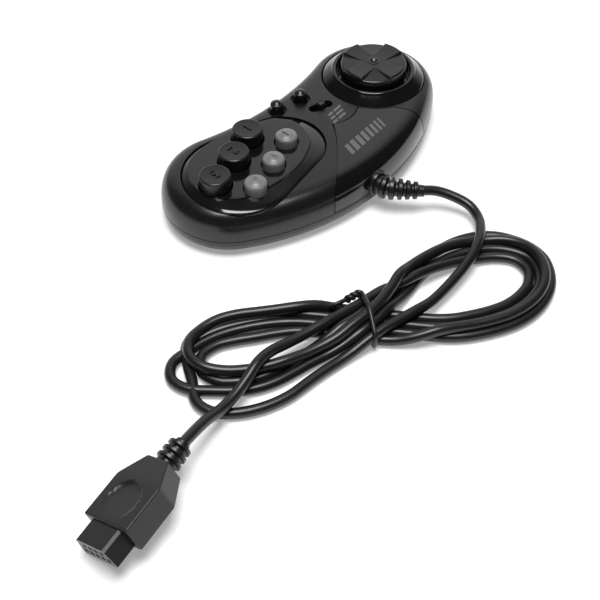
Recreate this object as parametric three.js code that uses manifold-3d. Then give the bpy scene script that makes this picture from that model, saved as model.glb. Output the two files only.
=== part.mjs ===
// A wired six-button game controller, with its cord tied in a hank and its nine-way plug.
// Millimetres, +Z up. X runs along the controller, +Y points to the edge that the cord leaves by.
// The origin is on the surface that it rests on, under the middle of the case.

import * as THREE from 'three';
import { mergeVertices } from 'three/addons/utils/BufferGeometryUtils.js';
import Module from 'manifold-3d';

const wasm = await Module();
wasm.setup();

// ---- driving dimensions ----------------------------------------------------

// Case outline: two round lobes, a bowed cord edge and a hollowed player's edge.
const LOBE_SPACING = 84;
const LOBE_RADIUS = 27;
const CROWN_RISE = 13;
const WAIST_DEPTH = 6;
const COLLAR_REACH = 2;

// Case heights and walls.
const PARTING_HEIGHT = 7.5;
const TOP_HEIGHT = 19.5;
const SHOULDER_WIDTH = 9;
const SHOULDER_POWER = 2.6;
const BASE_INSET = 7;
const BASE_EDGE_HEIGHT = 6.2;
const WALL = 2;
const GAP = 0.3;
const INLAY_THICKNESS = 1.2;
const INLAY_TO_BEZEL = 0.9;

// Board, switches and what stands on them.
const BOARD_BOTTOM = 8.6;
const BOARD_THICKNESS = 1.6;
const BOARD_INSET = 6.5;
const MAT_THICKNESS = 0.8;
const MAT_INSET = 5.6;
const DOME_HEIGHT = 1.6;

// Bezels.
const BEZEL_BOTTOM = 16.5;
const LEDGE_WIDTH = 2;
const LEDGE_THICKNESS = 1.5;
const DPAD_BEZEL_RADIUS = 21.5;
const DPAD_RIM_HEIGHT = 23.4;
const BUTTON_BEZEL_INNER_RADIUS = 17.5;
const BUTTON_BEZEL_OUTER_RADIUS = 22.3;
const BUTTON_BEZEL_TOP = 20.5;

// Direction pad.
const DPAD_RADIUS = 13.7;
const DPAD_WELL_CLEARANCE = 1.9;
const DPAD_TOP = 27;
const DPAD_ARM_WIDTH = 8.6;
const DPAD_PIVOT_HEIGHT = 14.5;
const DPAD_FOOT_PITCH = 9.5;

// Buttons: radius of the cap, height of its top and width of the flange that keeps it in.
const LARGE_BUTTON_RADIUS = 6.1;
const LARGE_BUTTON_TOP = 26.4;
const LARGE_BUTTON_GAPS = [0.71, 1.19];
const SMALL_BUTTON_RADIUS = 4.4;
const SMALL_BUTTON_TOP = 25.6;
const PEG_RADIUS = 2.7;
const PEG_TOP = 24.0;
const FLANGE_WIDTH = 0.8;
const FLANGE_BOTTOM = 14.8;
const FLANGE_TOP = 16.0;
const BUTTON_CLEARANCE = 0.3;

// Slide switch.
const SWITCH_CENTRE = [-11.6, -8.6];
const SWITCH_ANGLE = 164;
const SWITCH_TRAVEL = 2.8;
const SWITCH_KNOB_RADIUS = 1.9;

// Cord, strain relief and plug.
const CORD_DIAMETER = 4.0;
const EXIT_HEIGHT = 10.5;
const RELIEF_RADIUS = 4.0;
const RELIEF_FLANGE = 1.4;
const COLLAR_RADIUS = 5.6;
const HANK_HEIGHT = 8.2;
const WAIST_HEIGHT = 11.9;
const WAIST_HALF = 8.0;
const WAIST_REACH = 14;
const TIE_THICKNESS = 1.0;
const TIE_WIDTH = 3.0;
const PLUG_WIDTH = 20.4;
const PLUG_THICKNESS = 10;
const PLUG_LENGTH = 16.3;
const PLUG_SHOULDER = 9.5;
const PLUG_NECK = 9.6;
const PLUG_EDGE = 0.8;
const BOOT_LENGTH = 9.3;
const BOOT_CORE_RADIUS = 2.9;
const BOOT_RINGS = [4.5, 4.35, 4.1];
const BOOT_RING_WIDTH = 1.4;
const BOOT_RING_PITCH = 2.7;
const BOOT_RING_START = 2.0;
const NOSE_REACH = 8;

// Screws.
const SCREW_RADIUS = 1.2;
const SCREW_HEAD_RADIUS = 2.4;
const SCREW_HEAD_HEIGHT = 1.8;
const SCREW_SEAT = 4.2;
const SCREW_LENGTH = 9;
const SCREW_CLEARANCE = 0.2;
const BOSS_WALL = 1.7;

// ---- places worked out from them -------------------------------------------

const LOBE_X = LOBE_SPACING / 2;
const LOBE_Y = -(CROWN_RISE + COLLAR_REACH) / 2;
const CROWN_Y = LOBE_Y + LOBE_RADIUS + CROWN_RISE;
const WAIST_Y = LOBE_Y - LOBE_RADIUS + WAIST_DEPTH;
const COLLAR_Y = CROWN_Y + COLLAR_REACH;
const BOARD_TOP = BOARD_BOTTOM + BOARD_THICKNESS;
const MAT_BOTTOM = BOARD_TOP + GAP;
const MAT_TOP = MAT_BOTTOM + MAT_THICKNESS;
const DPAD = new THREE.Vector2(-LOBE_X, LOBE_Y + 1);
const DPAD_WELL_RADIUS = DPAD_RADIUS + DPAD_WELL_CLEARANCE;

// The bezel round the six buttons is the hull of two circles.
const BEZEL_INNER = new THREE.Vector2(LOBE_X - 25, LOBE_Y + 4);
const BEZEL_OUTER = new THREE.Vector2(LOBE_X - 2, LOBE_Y + 3.5);

// Three large buttons on a shallow arc, with a small one beyond each on the cord side.
// The outer two stand clear of the middle one's flange, each in its own direction.
const LARGE_MIDDLE = [LOBE_X - 4.1, LOBE_Y - 1.3];
const LARGE_DIRECTIONS = [203.56, 17.47];
const SMALL_OFFSET = [-9.2, 12.3];

function besideMiddle(side) {
  const pitch = 2 * (LARGE_BUTTON_RADIUS + FLANGE_WIDTH) + LARGE_BUTTON_GAPS[side];
  const angle = LARGE_DIRECTIONS[side] * Math.PI / 180;
  return [LARGE_MIDDLE[0] + pitch * Math.cos(angle), LARGE_MIDDLE[1] + pitch * Math.sin(angle)];
}

const LARGE_BUTTONS = [besideMiddle(0), LARGE_MIDDLE, besideMiddle(1)];
const SMALL_BUTTONS = LARGE_BUTTONS.map(([x, y]) => [x + SMALL_OFFSET[0], y + SMALL_OFFSET[1]]);
const PEGS = [[-9.6, -18.2], [2.2, -20.2]];

const CASE_SCREWS = [
  [-LOBE_X - 16.5, LOBE_Y + 12], [LOBE_X + 16.5, LOBE_Y + 12],
  [-LOBE_X + 17, LOBE_Y - 13], [LOBE_X - 29.5, WAIST_Y + 5.5],
  [-13, CROWN_Y - 10], [17, CROWN_Y - 11],
];
const BOARD_SCREWS = [[-24, 9], [22, 17]];

// ---- small tools -------------------------------------------------------------

const TAU = Math.PI * 2;

function toSolid(geometry) {
  const bare = geometry.clone();
  bare.deleteAttribute('normal');
  bare.deleteAttribute('uv');
  const merged = mergeVertices(bare, 1e-5);
  return new wasm.Manifold(new wasm.Mesh({
    numProp: 3,
    vertProperties: new Float32Array(merged.attributes.position.array),
    triVerts: new Uint32Array(merged.index.array),
  }));
}

function toGeometry(solid) {
  const mesh = solid.getMesh();
  const geometry = new THREE.BufferGeometry();
  geometry.setAttribute('position', new THREE.BufferAttribute(new Float32Array(mesh.vertProperties), 3));
  geometry.setIndex(new THREE.BufferAttribute(new Uint32Array(mesh.triVerts), 1));
  geometry.computeVertexNormals();
  return geometry;
}

function join(...solids) {
  return solids.reduce((whole, next) => whole.add(next));
}

// An upright cylinder or cone from one height to another.
function post(x, y, radius, bottom, top, sides = 24, topRadius = radius) {
  const geometry = new THREE.CylinderGeometry(topRadius, radius, top - bottom, sides);
  geometry.rotateX(Math.PI / 2);
  geometry.translate(x, y, (bottom + top) / 2);
  return toSolid(geometry);
}

function block(x, y, sizeX, sizeY, bottom, top, angle = 0) {
  const geometry = new THREE.BoxGeometry(sizeX, sizeY, top - bottom);
  geometry.rotateZ(angle * Math.PI / 180);
  geometry.translate(x, y, (bottom + top) / 2);
  return toSolid(geometry);
}

function prism(points, bottom, top) {
  const geometry = new THREE.ExtrudeGeometry(new THREE.Shape(points), { depth: top - bottom, bevelEnabled: false });
  geometry.translate(0, 0, bottom);
  return toSolid(geometry);
}

// A turned piece about an upright axis, from [radius, height] pairs.
function turned(profile, x = 0, y = 0, sides = 32) {
  const geometry = new THREE.LatheGeometry(profile.map(([r, z]) => new THREE.Vector2(r, z)), sides);
  geometry.rotateX(Math.PI / 2);
  geometry.translate(x, y, 0);
  const solid = toSolid(geometry);
  return solid.volume() < 0 ? toSolid(flipped(geometry)) : solid;
}

function flipped(geometry) {
  const copy = geometry.clone();
  const index = copy.index.array;
  for (let i = 0; i < index.length; i += 3) {
    [index[i], index[i + 1]] = [index[i + 1], index[i]];
  }
  return copy;
}

function arcPoints(centreX, centreY, radius, from, to, count) {
  return Array.from({ length: count }, (_, i) => {
    const angle = from + (to - from) * i / count;
    return new THREE.Vector2(centreX + radius * Math.cos(angle), centreY + radius * Math.sin(angle));
  });
}

// The case outline, drawn in by an inset. Its four kinds of arc keep their centres, so they stay tangent.
const CROWN_CENTRE_Y = ((LOBE_Y + CROWN_RISE) ** 2 - LOBE_X ** 2 - LOBE_Y ** 2) / (2 * CROWN_RISE);
const CROWN_RADIUS = CROWN_Y - CROWN_CENTRE_Y;
const WAIST_RADIUS = (LOBE_X ** 2 + (LOBE_RADIUS - WAIST_DEPTH) ** 2 - LOBE_RADIUS ** 2) / (2 * WAIST_DEPTH);
const WAIST_CENTRE_Y = WAIST_Y - WAIST_RADIUS;
const LOBE_STEPS = 15;
const CROWN_STEPS = 9;
const WAIST_STEPS = 5;

function caseOutline(inset) {
  const crown = Math.atan2(LOBE_Y - CROWN_CENTRE_Y, LOBE_X);
  const waist = Math.atan2(WAIST_CENTRE_Y - LOBE_Y, -LOBE_X);
  const lobe = LOBE_RADIUS - inset;
  return [
    ...arcPoints(LOBE_X, LOBE_Y, lobe, waist, crown, LOBE_STEPS),
    ...arcPoints(0, CROWN_CENTRE_Y, CROWN_RADIUS - inset, crown, Math.PI - crown, CROWN_STEPS),
    ...arcPoints(-LOBE_X, LOBE_Y, lobe, Math.PI - crown, Math.PI - waist, LOBE_STEPS),
    ...arcPoints(0, WAIST_CENTRE_Y, WAIST_RADIUS + inset, -waist, Math.PI + waist, WAIST_STEPS),
  ];
}

// A closed body whose outline changes with height, from { z, inset } levels, bottom first.
function stacked(levels) {
  const rings = levels.map(({ z, inset }) => caseOutline(inset).map((p) => [p.x, p.y, z]));
  const count = rings[0].length;
  const positions = rings.flat().flat();
  const index = [];
  for (let level = 0; level + 1 < rings.length; level += 1) {
    for (let i = 0; i < count; i += 1) {
      const a = level * count + i;
      const b = level * count + (i + 1) % count;
      index.push(a, b, a + count, b, b + count, a + count);
    }
  }
  const caps = THREE.ShapeUtils.triangulateShape(caseOutline(levels[0].inset), []);
  const last = (rings.length - 1) * count;
  for (const [a, b, c] of caps) {
    index.push(a, c, b);
    index.push(last + a, last + b, last + c);
  }
  const geometry = new THREE.BufferGeometry();
  geometry.setAttribute('position', new THREE.Float32BufferAttribute(positions, 3));
  geometry.setIndex(index);
  return toSolid(geometry);
}

// ---- the case -----------------------------------------------------------------

// The top's outer face, or a face a depth below it: a straight wall that rounds over to a flat top.
function topBody(depth, bottom) {
  const steps = 5;
  const levels = [{ z: bottom, inset: depth }];
  for (let i = 0; i <= steps; i += 1) {
    const angle = (i / steps) * Math.PI / 2;
    const rise = Math.sin(angle) ** (2 / SHOULDER_POWER);
    const run = 1 - Math.max(Math.cos(angle), 0) ** (2 / SHOULDER_POWER);
    const z = PARTING_HEIGHT + (TOP_HEIGHT - depth - PARTING_HEIGHT) * rise;
    if (z > bottom + 0.5) {
      levels.push({ z, inset: depth + SHOULDER_WIDTH * run });
    }
  }
  return stacked(levels);
}

// The bottom's outer face, or a face a depth above it: a flat base that rounds up to a short wall.
function bottomBody(depth, top) {
  const steps = 4;
  const levels = [];
  for (let i = 0; i <= steps; i += 1) {
    const angle = (i / steps) * Math.PI / 2;
    levels.push({
      z: depth + (BASE_EDGE_HEIGHT - depth) * (1 - Math.cos(angle)),
      inset: depth + BASE_INSET * (1 - Math.sin(angle)),
    });
  }
  levels.push({ z: top, inset: depth });
  return stacked(levels);
}

function alongY(x, z, radius, from, to, sides = 28) {
  const geometry = new THREE.CylinderGeometry(radius, radius, to - from, sides);
  geometry.translate(x, (from + to) / 2, z);
  return toSolid(geometry);
}

// The hull of the two bezel circles, grown by a margin.
function bezelOutline(margin) {
  const inner = BUTTON_BEZEL_INNER_RADIUS + margin;
  const outer = BUTTON_BEZEL_OUTER_RADIUS + margin;
  const offset = BEZEL_OUTER.clone().sub(BEZEL_INNER);
  const lean = Math.asin((outer - inner) / offset.length());
  const heading = offset.angle();
  const upper = heading + Math.PI / 2 + lean;
  const lower = heading - Math.PI / 2 - lean;
  return [
    ...arcPoints(BEZEL_OUTER.x, BEZEL_OUTER.y, outer, lower, upper, 18),
    ...arcPoints(BEZEL_INNER.x, BEZEL_INNER.y, inner, upper, lower + TAU, 12),
  ];
}

// The inlay's outline: a scalloped inner end, an arc round the direction pad's bezel,
// and a slanting side towards the buttons. It runs on past the cord edge of the case.
function inlayOutline(margin) {
  const round = DPAD_BEZEL_RADIUS + INLAY_TO_BEZEL - margin;
  const start = (25 - 3 * margin) * Math.PI / 180;
  const finish = 62 * Math.PI / 180;
  const shape = new THREE.Shape();
  shape.moveTo(-6.6 + margin, 2.8 - margin);
  shape.quadraticCurveTo(1 + margin, 13.5, 22 + margin, 29.5);
  shape.lineTo(30 + margin, CROWN_Y + 8);
  shape.lineTo(-44 - margin, CROWN_Y + 8);
  shape.lineTo(-37.5 - margin, 25);
  shape.lineTo(DPAD.x + round * Math.cos(finish), DPAD.y + round * Math.sin(finish));
  shape.absarc(DPAD.x, DPAD.y, round, finish, start, true);
  shape.quadraticCurveTo(-14, 7.5 - margin, -6.6 + margin, 2.8 - margin);
  return shape.getPoints(6);
}

const topOuter = topBody(0, PARTING_HEIGHT + GAP);
const bottomOuter = bottomBody(0, PARTING_HEIGHT);
const collar = alongY(0, EXIT_HEIGHT, COLLAR_RADIUS, CROWN_Y - WALL, COLLAR_Y);
const collarRoom = alongY(0, EXIT_HEIGHT, COLLAR_RADIUS + GAP, CROWN_Y - WALL - 4, COLLAR_Y + GAP);
const exitHole = alongY(0, EXIT_HEIGHT, RELIEF_RADIUS + GAP, CROWN_Y - 2 * WALL, COLLAR_Y + 1);
const flangeRoom = alongY(0, EXIT_HEIGHT, RELIEF_RADIUS + RELIEF_FLANGE + GAP, CROWN_Y - WALL - 4, CROWN_Y - WALL);
const BIG = 400;
const aboveParting = block(0, 0, BIG, BIG, PARTING_HEIGHT + GAP, BIG);
const belowParting = block(0, 0, BIG, BIG, -BIG, PARTING_HEIGHT);

const LEDGE_TOP = BEZEL_BOTTOM - GAP;
const LEDGE_BOTTOM = LEDGE_TOP - LEDGE_THICKNESS;
const SEAT_GAP = 0.3;
const MAX_Z = 60;

function switchSlot(length, width, bottom, top) {
  const straight = block(...SWITCH_CENTRE, length, width, bottom, top, SWITCH_ANGLE);
  const angle = SWITCH_ANGLE * Math.PI / 180;
  const reach = length / 2;
  const ends = [-1, 1].map((side) => post(
    SWITCH_CENTRE[0] + side * reach * Math.cos(angle),
    SWITCH_CENTRE[1] + side * reach * Math.sin(angle),
    width / 2, bottom, top, 16));
  return join(straight, ...ends);
}

function makeTopShell() {
  const hollow = topBody(WALL, PARTING_HEIGHT - 1);
  let shell = topOuter.subtract(hollow);
  const ledges = join(
    post(DPAD.x, DPAD.y, DPAD_BEZEL_RADIUS + LEDGE_WIDTH, LEDGE_BOTTOM, TOP_HEIGHT, 32),
    prism(bezelOutline(LEDGE_WIDTH), LEDGE_BOTTOM, TOP_HEIGHT));
  const bosses = CASE_SCREWS.map(([x, y]) => post(
    x, y, SCREW_RADIUS + SCREW_CLEARANCE + BOSS_WALL, BOARD_BOTTOM, TOP_HEIGHT - WALL / 2, 12));
  shell = join(shell, ledges.intersect(topOuter), join(...bosses).intersect(topOuter));
  shell = shell.add(collar.intersect(aboveParting));
  const cuts = [
    post(DPAD.x, DPAD.y, DPAD_BEZEL_RADIUS + SEAT_GAP, LEDGE_TOP, MAX_Z, 32),
    post(DPAD.x, DPAD.y, DPAD_BEZEL_RADIUS - LEDGE_WIDTH, PARTING_HEIGHT + 5, MAX_Z, 32),
    prism(bezelOutline(SEAT_GAP), LEDGE_TOP, MAX_Z),
    prism(bezelOutline(-LEDGE_WIDTH), PARTING_HEIGHT + 5, MAX_Z),
    exitHole,
    flangeRoom,
    switchSlot(2 * SWITCH_TRAVEL, 2 * SWITCH_KNOB_RADIUS + 2 * GAP, TOP_HEIGHT - WALL - 1, MAX_Z),
    prism(inlayOutline(GAP), PARTING_HEIGHT + 2 * GAP, MAX_Z)
      .subtract(topBody(INLAY_THICKNESS + GAP, PARTING_HEIGHT))
      .subtract(collar),
  ];
  const flanges = [
    ...LARGE_BUTTONS.map(([x, y]) => [x, y, LARGE_BUTTON_RADIUS + FLANGE_WIDTH]),
    ...SMALL_BUTTONS.map(([x, y]) => [x, y, SMALL_BUTTON_RADIUS + FLANGE_WIDTH]),
    ...PEGS.map(([x, y]) => [x, y, PEG_RADIUS + FLANGE_WIDTH]),
  ];
  for (const [x, y, radius] of flanges) {
    cuts.push(post(x, y, radius + 2 * GAP, PARTING_HEIGHT + 3, LEDGE_TOP + 0.01, 16));
  }
  for (const [x, y] of PEGS) {
    cuts.push(post(x, y, PEG_RADIUS + BUTTON_CLEARANCE, LEDGE_BOTTOM, MAX_Z, 16));
    cuts.push(post(x, y, PEG_RADIUS + 1.1, TOP_HEIGHT - 0.8, MAX_Z, 16));
  }
  for (const [x, y] of CASE_SCREWS) {
    cuts.push(post(x, y, SCREW_RADIUS + SCREW_CLEARANCE, 0, SCREW_SEAT + SCREW_LENGTH + 1, 8));
  }
  shell = shell.subtract(join(...cuts));
  return largest(shell);
}

// Cuts can free a sliver, so only the largest body is kept.
function largest(solid) {
  return solid.decompose().sort((a, b) => b.volume() - a.volume())[0];
}

function makeBottomShell() {
  let shell = bottomOuter.subtract(bottomBody(WALL, PARTING_HEIGHT + 1));
  const bosses = CASE_SCREWS.map(([x, y]) => post(x, y, SCREW_HEAD_RADIUS + GAP + 1, WALL / 2,
    BOARD_BOTTOM - GAP, 12));
  const rests = BOARD_SCREWS.map(([x, y]) => post(x, y, 3, WALL / 2, BOARD_BOTTOM - GAP, 12));
  shell = join(shell, ...bosses, ...rests, collar.intersect(belowParting));
  const cuts = [exitHole, flangeRoom];
  for (const [x, y] of CASE_SCREWS) {
    cuts.push(post(x, y, SCREW_HEAD_RADIUS + GAP, -1, SCREW_SEAT, 12));
    cuts.push(post(x, y, SCREW_RADIUS + SCREW_CLEARANCE, 0, BOARD_BOTTOM + 1, 8));
  }
  for (const [x, y] of BOARD_SCREWS) {
    cuts.push(post(x, y, SCREW_RADIUS, BOARD_BOTTOM - 5, BOARD_BOTTOM + 1, 8));
  }
  return shell.subtract(join(...cuts));
}

function makeFrontPanel() {
  return largest(topBody(0, PARTING_HEIGHT + 3 * GAP)
    .subtract(topBody(INLAY_THICKNESS, PARTING_HEIGHT))
    .intersect(prism(inlayOutline(0), PARTING_HEIGHT, MAX_Z))
    .subtract(collarRoom));
}

// ---- bezels and buttons ---------------------------------------------------------

function makeDpadBezel() {
  const floorTop = BEZEL_BOTTOM + 1.2;
  const floorRadius = DPAD_FOOT_PITCH + 3.1;
  return turned([
    [floorRadius, BEZEL_BOTTOM],
    [DPAD_BEZEL_RADIUS, BEZEL_BOTTOM],
    [DPAD_BEZEL_RADIUS, TOP_HEIGHT - 0.3],
    [DPAD_WELL_RADIUS + 2.2, DPAD_RIM_HEIGHT - 1.4],
    [DPAD_WELL_RADIUS + 1.5, DPAD_RIM_HEIGHT - 0.2],
    [DPAD_WELL_RADIUS + 0.8, DPAD_RIM_HEIGHT],
    [DPAD_WELL_RADIUS, DPAD_RIM_HEIGHT - 0.3],
    [DPAD_WELL_RADIUS, floorTop],
    [floorRadius, floorTop],
    [floorRadius, BEZEL_BOTTOM],
  ], DPAD.x, DPAD.y, 32);
}

function makeButtonBezel() {
  const plate = prism(bezelOutline(0), BEZEL_BOTTOM, TOP_HEIGHT - 0.6);
  const step = prism(bezelOutline(-1.2), TOP_HEIGHT - 1.2, BUTTON_BEZEL_TOP);
  const holes = [
    ...LARGE_BUTTONS.map(([x, y]) => post(x, y, LARGE_BUTTON_RADIUS + BUTTON_CLEARANCE + 0.1, 0, MAX_Z, 20)),
    ...SMALL_BUTTONS.map(([x, y]) => post(x, y, SMALL_BUTTON_RADIUS + BUTTON_CLEARANCE + 0.1, 0, MAX_Z, 18)),
  ];
  return plate.add(step).subtract(join(...holes));
}

// The pad: a disc with a raised cross, a hub with a pivot tip, and four feet under the arms.
function makeDpad() {
  const discBottom = BEZEL_BOTTOM + 3.5;
  const discTop = DPAD_TOP - 1.8;
  const disc = turned([
    [0, discBottom], [DPAD_RADIUS - 0.4, discBottom], [DPAD_RADIUS, discBottom + 0.5],
    [DPAD_RADIUS, discTop - 0.5], [DPAD_RADIUS - 0.5, discTop], [0, discTop],
  ], 0, 0, 28);
  const reach = DPAD_RADIUS - 0.5;
  const arms = [0, 90].map((angle) => block(0, 0, 2 * reach, DPAD_ARM_WIDTH, discTop - 0.2, DPAD_TOP, angle));
  const dimple = post(0, 0, 2.2, DPAD_TOP - 0.8, DPAD_TOP + 1, 16, 3);
  const hub = post(0, 0, 4, DPAD_PIVOT_HEIGHT + 1.2, discBottom + 0.2, 20);
  const tip = post(0, 0, 1.8, DPAD_PIVOT_HEIGHT - 0.6, DPAD_PIVOT_HEIGHT + 1.4, 16);
  const feet = [0, 90, 180, 270].map((angle) => {
    const turn = angle * Math.PI / 180;
    return post(DPAD_FOOT_PITCH * Math.cos(turn), DPAD_FOOT_PITCH * Math.sin(turn), 1.6,
      DPAD_PIVOT_HEIGHT + 1.1, discBottom + 0.2, 14);
  });
  const top = join(...arms).intersect(post(0, 0, reach, 0, MAX_Z, 28));
  return join(disc, top, hub, tip, ...feet).subtract(dimple).translate([DPAD.x, DPAD.y, 0]);
}

// The ring that the pad's tip sits in: it rocks one way, and the pad rocks the other way on it.
function makeDpadRocker() {
  return turned([
    [2.6, DPAD_PIVOT_HEIGHT - 0.9], [5.5, DPAD_PIVOT_HEIGHT - 0.9], [5.5, DPAD_PIVOT_HEIGHT + 0.4],
    [2.6, DPAD_PIVOT_HEIGHT + 0.4], [2.6, DPAD_PIVOT_HEIGHT - 0.9],
  ], DPAD.x, DPAD.y, 24);
}

function makeButton([x, y], radius, top, crown, sides) {
  return turned([
    [0, FLANGE_BOTTOM], [radius + FLANGE_WIDTH, FLANGE_BOTTOM], [radius + FLANGE_WIDTH, FLANGE_TOP],
    [radius, FLANGE_TOP], [radius, top - crown - 0.9], [radius - 0.3, top - crown - 0.25],
    [radius - 0.9, top - crown], [0, top],
  ], x, y, sides);
}

// A silicone mat with a dome under each button.
function makeMat(outline, domes) {
  const sheet = prism(outline, MAT_BOTTOM, MAT_TOP);
  const bumps = domes.map(([x, y, radius]) => post(x, y, radius, MAT_TOP - 0.1, MAT_TOP + DOME_HEIGHT, 12,
    radius * 0.7));
  return join(sheet, ...bumps);
}

function rectangle(x, y, sizeX, sizeY) {
  return [
    new THREE.Vector2(x - sizeX / 2, y - sizeY / 2), new THREE.Vector2(x + sizeX / 2, y - sizeY / 2),
    new THREE.Vector2(x + sizeX / 2, y + sizeY / 2), new THREE.Vector2(x - sizeX / 2, y + sizeY / 2),
  ];
}

// ---- board and parts on it --------------------------------------------------------

function makeBoard() {
  const holes = [
    ...CASE_SCREWS.map(([x, y]) => post(x, y, SCREW_HEAD_RADIUS + GAP + 1.6, 0, MAX_Z, 12)),
    ...BOARD_SCREWS.map(([x, y]) => post(x, y, SCREW_RADIUS + GAP, 0, MAX_Z, 8)),
  ];
  return prism(caseOutline(BOARD_INSET), BOARD_BOTTOM, BOARD_TOP).subtract(join(...holes));
}

// Parts that stand on the board: place, length, width and height.
const CONTROLLER_CHIP = [-12, 8, 18, 7.6, 2.6];
const TIMER_CHIP = [-13, -0.6, 9, 5, 2];
const PULL_UP_NETWORK = [-1, 15.2, 14, 2.4, 4.6];
const CORD_HEADER = [0, 21.4, 15, 4.4, 4.6];
const CAPACITOR_PLACE = [11.5, 19];
const CAPACITOR_RADIUS = 2.5;
const CAPACITOR_HEIGHT = 5.2;

function onBoard([x, y, length, width, height]) {
  return block(x, y, length, width, MAT_BOTTOM, MAT_BOTTOM + height);
}

// The bundle of thin leads from the header to the strain relief's inner end.
const LEADS_RADIUS = 1.5;
const LEADS_PATH = [
  [0, CORD_HEADER[1] + 2.9, MAT_BOTTOM + 2.6],
  [0, CORD_HEADER[1] + 4.2, MAT_BOTTOM + 2.8],
  [0, CORD_HEADER[1] + 5.6, EXIT_HEIGHT + 1.5],
  [0, CROWN_Y - WALL - 3.3, EXIT_HEIGHT],
];

function makeSwitchKnob() {
  const [x, y] = SWITCH_CENTRE;
  const slider = block(x, y, 7, 4.6, BEZEL_BOTTOM - 0.9, BEZEL_BOTTOM + 0.3, SWITCH_ANGLE);
  const knob = turned([
    [0, BEZEL_BOTTOM], [SWITCH_KNOB_RADIUS, BEZEL_BOTTOM], [SWITCH_KNOB_RADIUS, TOP_HEIGHT + 1.6],
    [SWITCH_KNOB_RADIUS - 0.6, TOP_HEIGHT + 2.4], [0, TOP_HEIGHT + 2.6],
  ], x, y, 20);
  return slider.add(knob);
}

function makeSwitchBody() {
  return block(...SWITCH_CENTRE, 12, 6.4, MAT_BOTTOM, BEZEL_BOTTOM - 1.2, SWITCH_ANGLE);
}

// ---- strain relief, cord, hank and tie ----------------------------------------------

const RELIEF_PATH = [
  [0, CROWN_Y - WALL - 0.5, EXIT_HEIGHT],
  [0, COLLAR_Y + 0.5, EXIT_HEIGHT],
  [-3.4, 41.6, 10.4],
  [-9.4, 48.4, 9.8],
];
const LEAD_PATH = [
  [-10.1, 49.1, 9.7],
  [-13.2, 51.2, 9.1],
  [-16.6, 56.6, 7.8],
  [-18.3, 62.9, 6.7],
  [-17.6, 67.0, 6.6],
  [-16.0, 70.4, 6.7],
];
const TAIL_PATH = [
  [121.5, 64.6, 8.2],
  [126.5, 65.4, 9.6],
  [131.5, 66.7, 11.2],
  [135.5, 67.6, 12.3],
];

function curve(points) {
  return new THREE.CatmullRomCurve3(points.map((p) => new THREE.Vector3(...p)));
}

function tube(points, radius, sides, steps) {
  const section = new THREE.Shape();
  section.absarc(0, 0, radius, 0, TAU, false);
  const ring = section.getPoints(sides / 2).slice(0, -1);
  const geometry = new THREE.ExtrudeGeometry(new THREE.Shape(ring), { steps, extrudePath: curve(points) });
  const solid = toSolid(geometry);
  return solid.volume() < 0 ? toSolid(flipped(geometry)) : solid;
}

// A ring of the strain relief, square to its path.
function rib(path, at, radius, length) {
  const geometry = new THREE.CylinderGeometry(radius * 0.94, radius, length, 20);
  const up = new THREE.Vector3(0, 1, 0);
  geometry.applyQuaternion(new THREE.Quaternion().setFromUnitVectors(up, path.getTangentAt(at)));
  geometry.translate(...path.getPointAt(at).toArray());
  return toSolid(geometry);
}

function makeStrainRelief() {
  const path = curve(RELIEF_PATH);
  const core = tube(RELIEF_PATH, CORD_DIAMETER / 2 + 0.7, 16, 10);
  const root = alongY(0, EXIT_HEIGHT, RELIEF_RADIUS, CROWN_Y - WALL - 1, COLLAR_Y + 1, 24);
  const flange = alongY(0, EXIT_HEIGHT, RELIEF_RADIUS + RELIEF_FLANGE, CROWN_Y - WALL - 1.8, CROWN_Y - WALL - GAP, 24);
  const ribs = [0.42, 0.55, 0.68, 0.81, 0.93].map((at, i) => rib(path, at, 3.9 - 0.22 * i, 1.5));
  return join(core, root, flange, ...ribs);
}

// The hank's middle and direction. Its outline is given along and across that direction.
const HANK_CENTRE = new THREE.Vector2(52, 77);
const HANK_ANGLE = Math.atan2(-0.49, 0.87);
// The turns gather into a round bundle where they are tied. Its middle and direction differ a little.
const WAIST_CENTRE = new THREE.Vector2(53.5, 75.4);
const WAIST_ANGLE = -3.15;
const HANK_OUTLINE = [
  [2.6, -9.6], [-8, -17.5], [-18, -24], [-31, -31], [-44, -35.5], [-58, -35.5], [-68, -29], [-73, -17],
  [-71, -4], [-64, 6], [-53, 11], [-40, 14], [-27, 15.2], [-14, 12], [-4.7, 5.2],
  [1.6, 8.3], [13, 14], [24, 18], [36, 22.5], [48, 24.8], [58, 24.2], [66, 20],
  [72, 12], [74.5, 2], [73, -7], [68, -13.5], [60, -16.5], [49, -18.8], [37, -20], [24, -19.8],
  [15, -14], [8.9, -6.5],
];

function onHank(solid) {
  return solid.rotate([0, 0, HANK_ANGLE * 180 / Math.PI]).translate([HANK_CENTRE.x, HANK_CENTRE.y, 0]);
}

function onWaist(solid) {
  return solid.rotate([0, 0, WAIST_ANGLE]).translate([WAIST_CENTRE.x, WAIST_CENTRE.y, 0]);
}

// Loops at both ends, and a rounded bundle through the tie that stands higher than they do.
function makeHank() {
  const loops = onHank(prism(HANK_OUTLINE.map(([u, v]) => new THREE.Vector2(u, v)), 0, HANK_HEIGHT));
  const middle = WAIST_HEIGHT / 2 + TIE_THICKNESS / 2;
  const rise = WAIST_HEIGHT / 2 - TIE_THICKNESS / 2;
  const bundle = onWaist(post(0, 0, 1, -WAIST_REACH, WAIST_REACH, 16)
    .rotate([0, 90, 0]).scale([1, WAIST_HALF, rise]).translate([0, 0, middle]));
  const room = onWaist(block(0, 0, TIE_WIDTH + 2 * GAP, 4 * WAIST_HALF, -1, MAX_Z));
  return join(loops.subtract(room), bundle);
}

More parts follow.
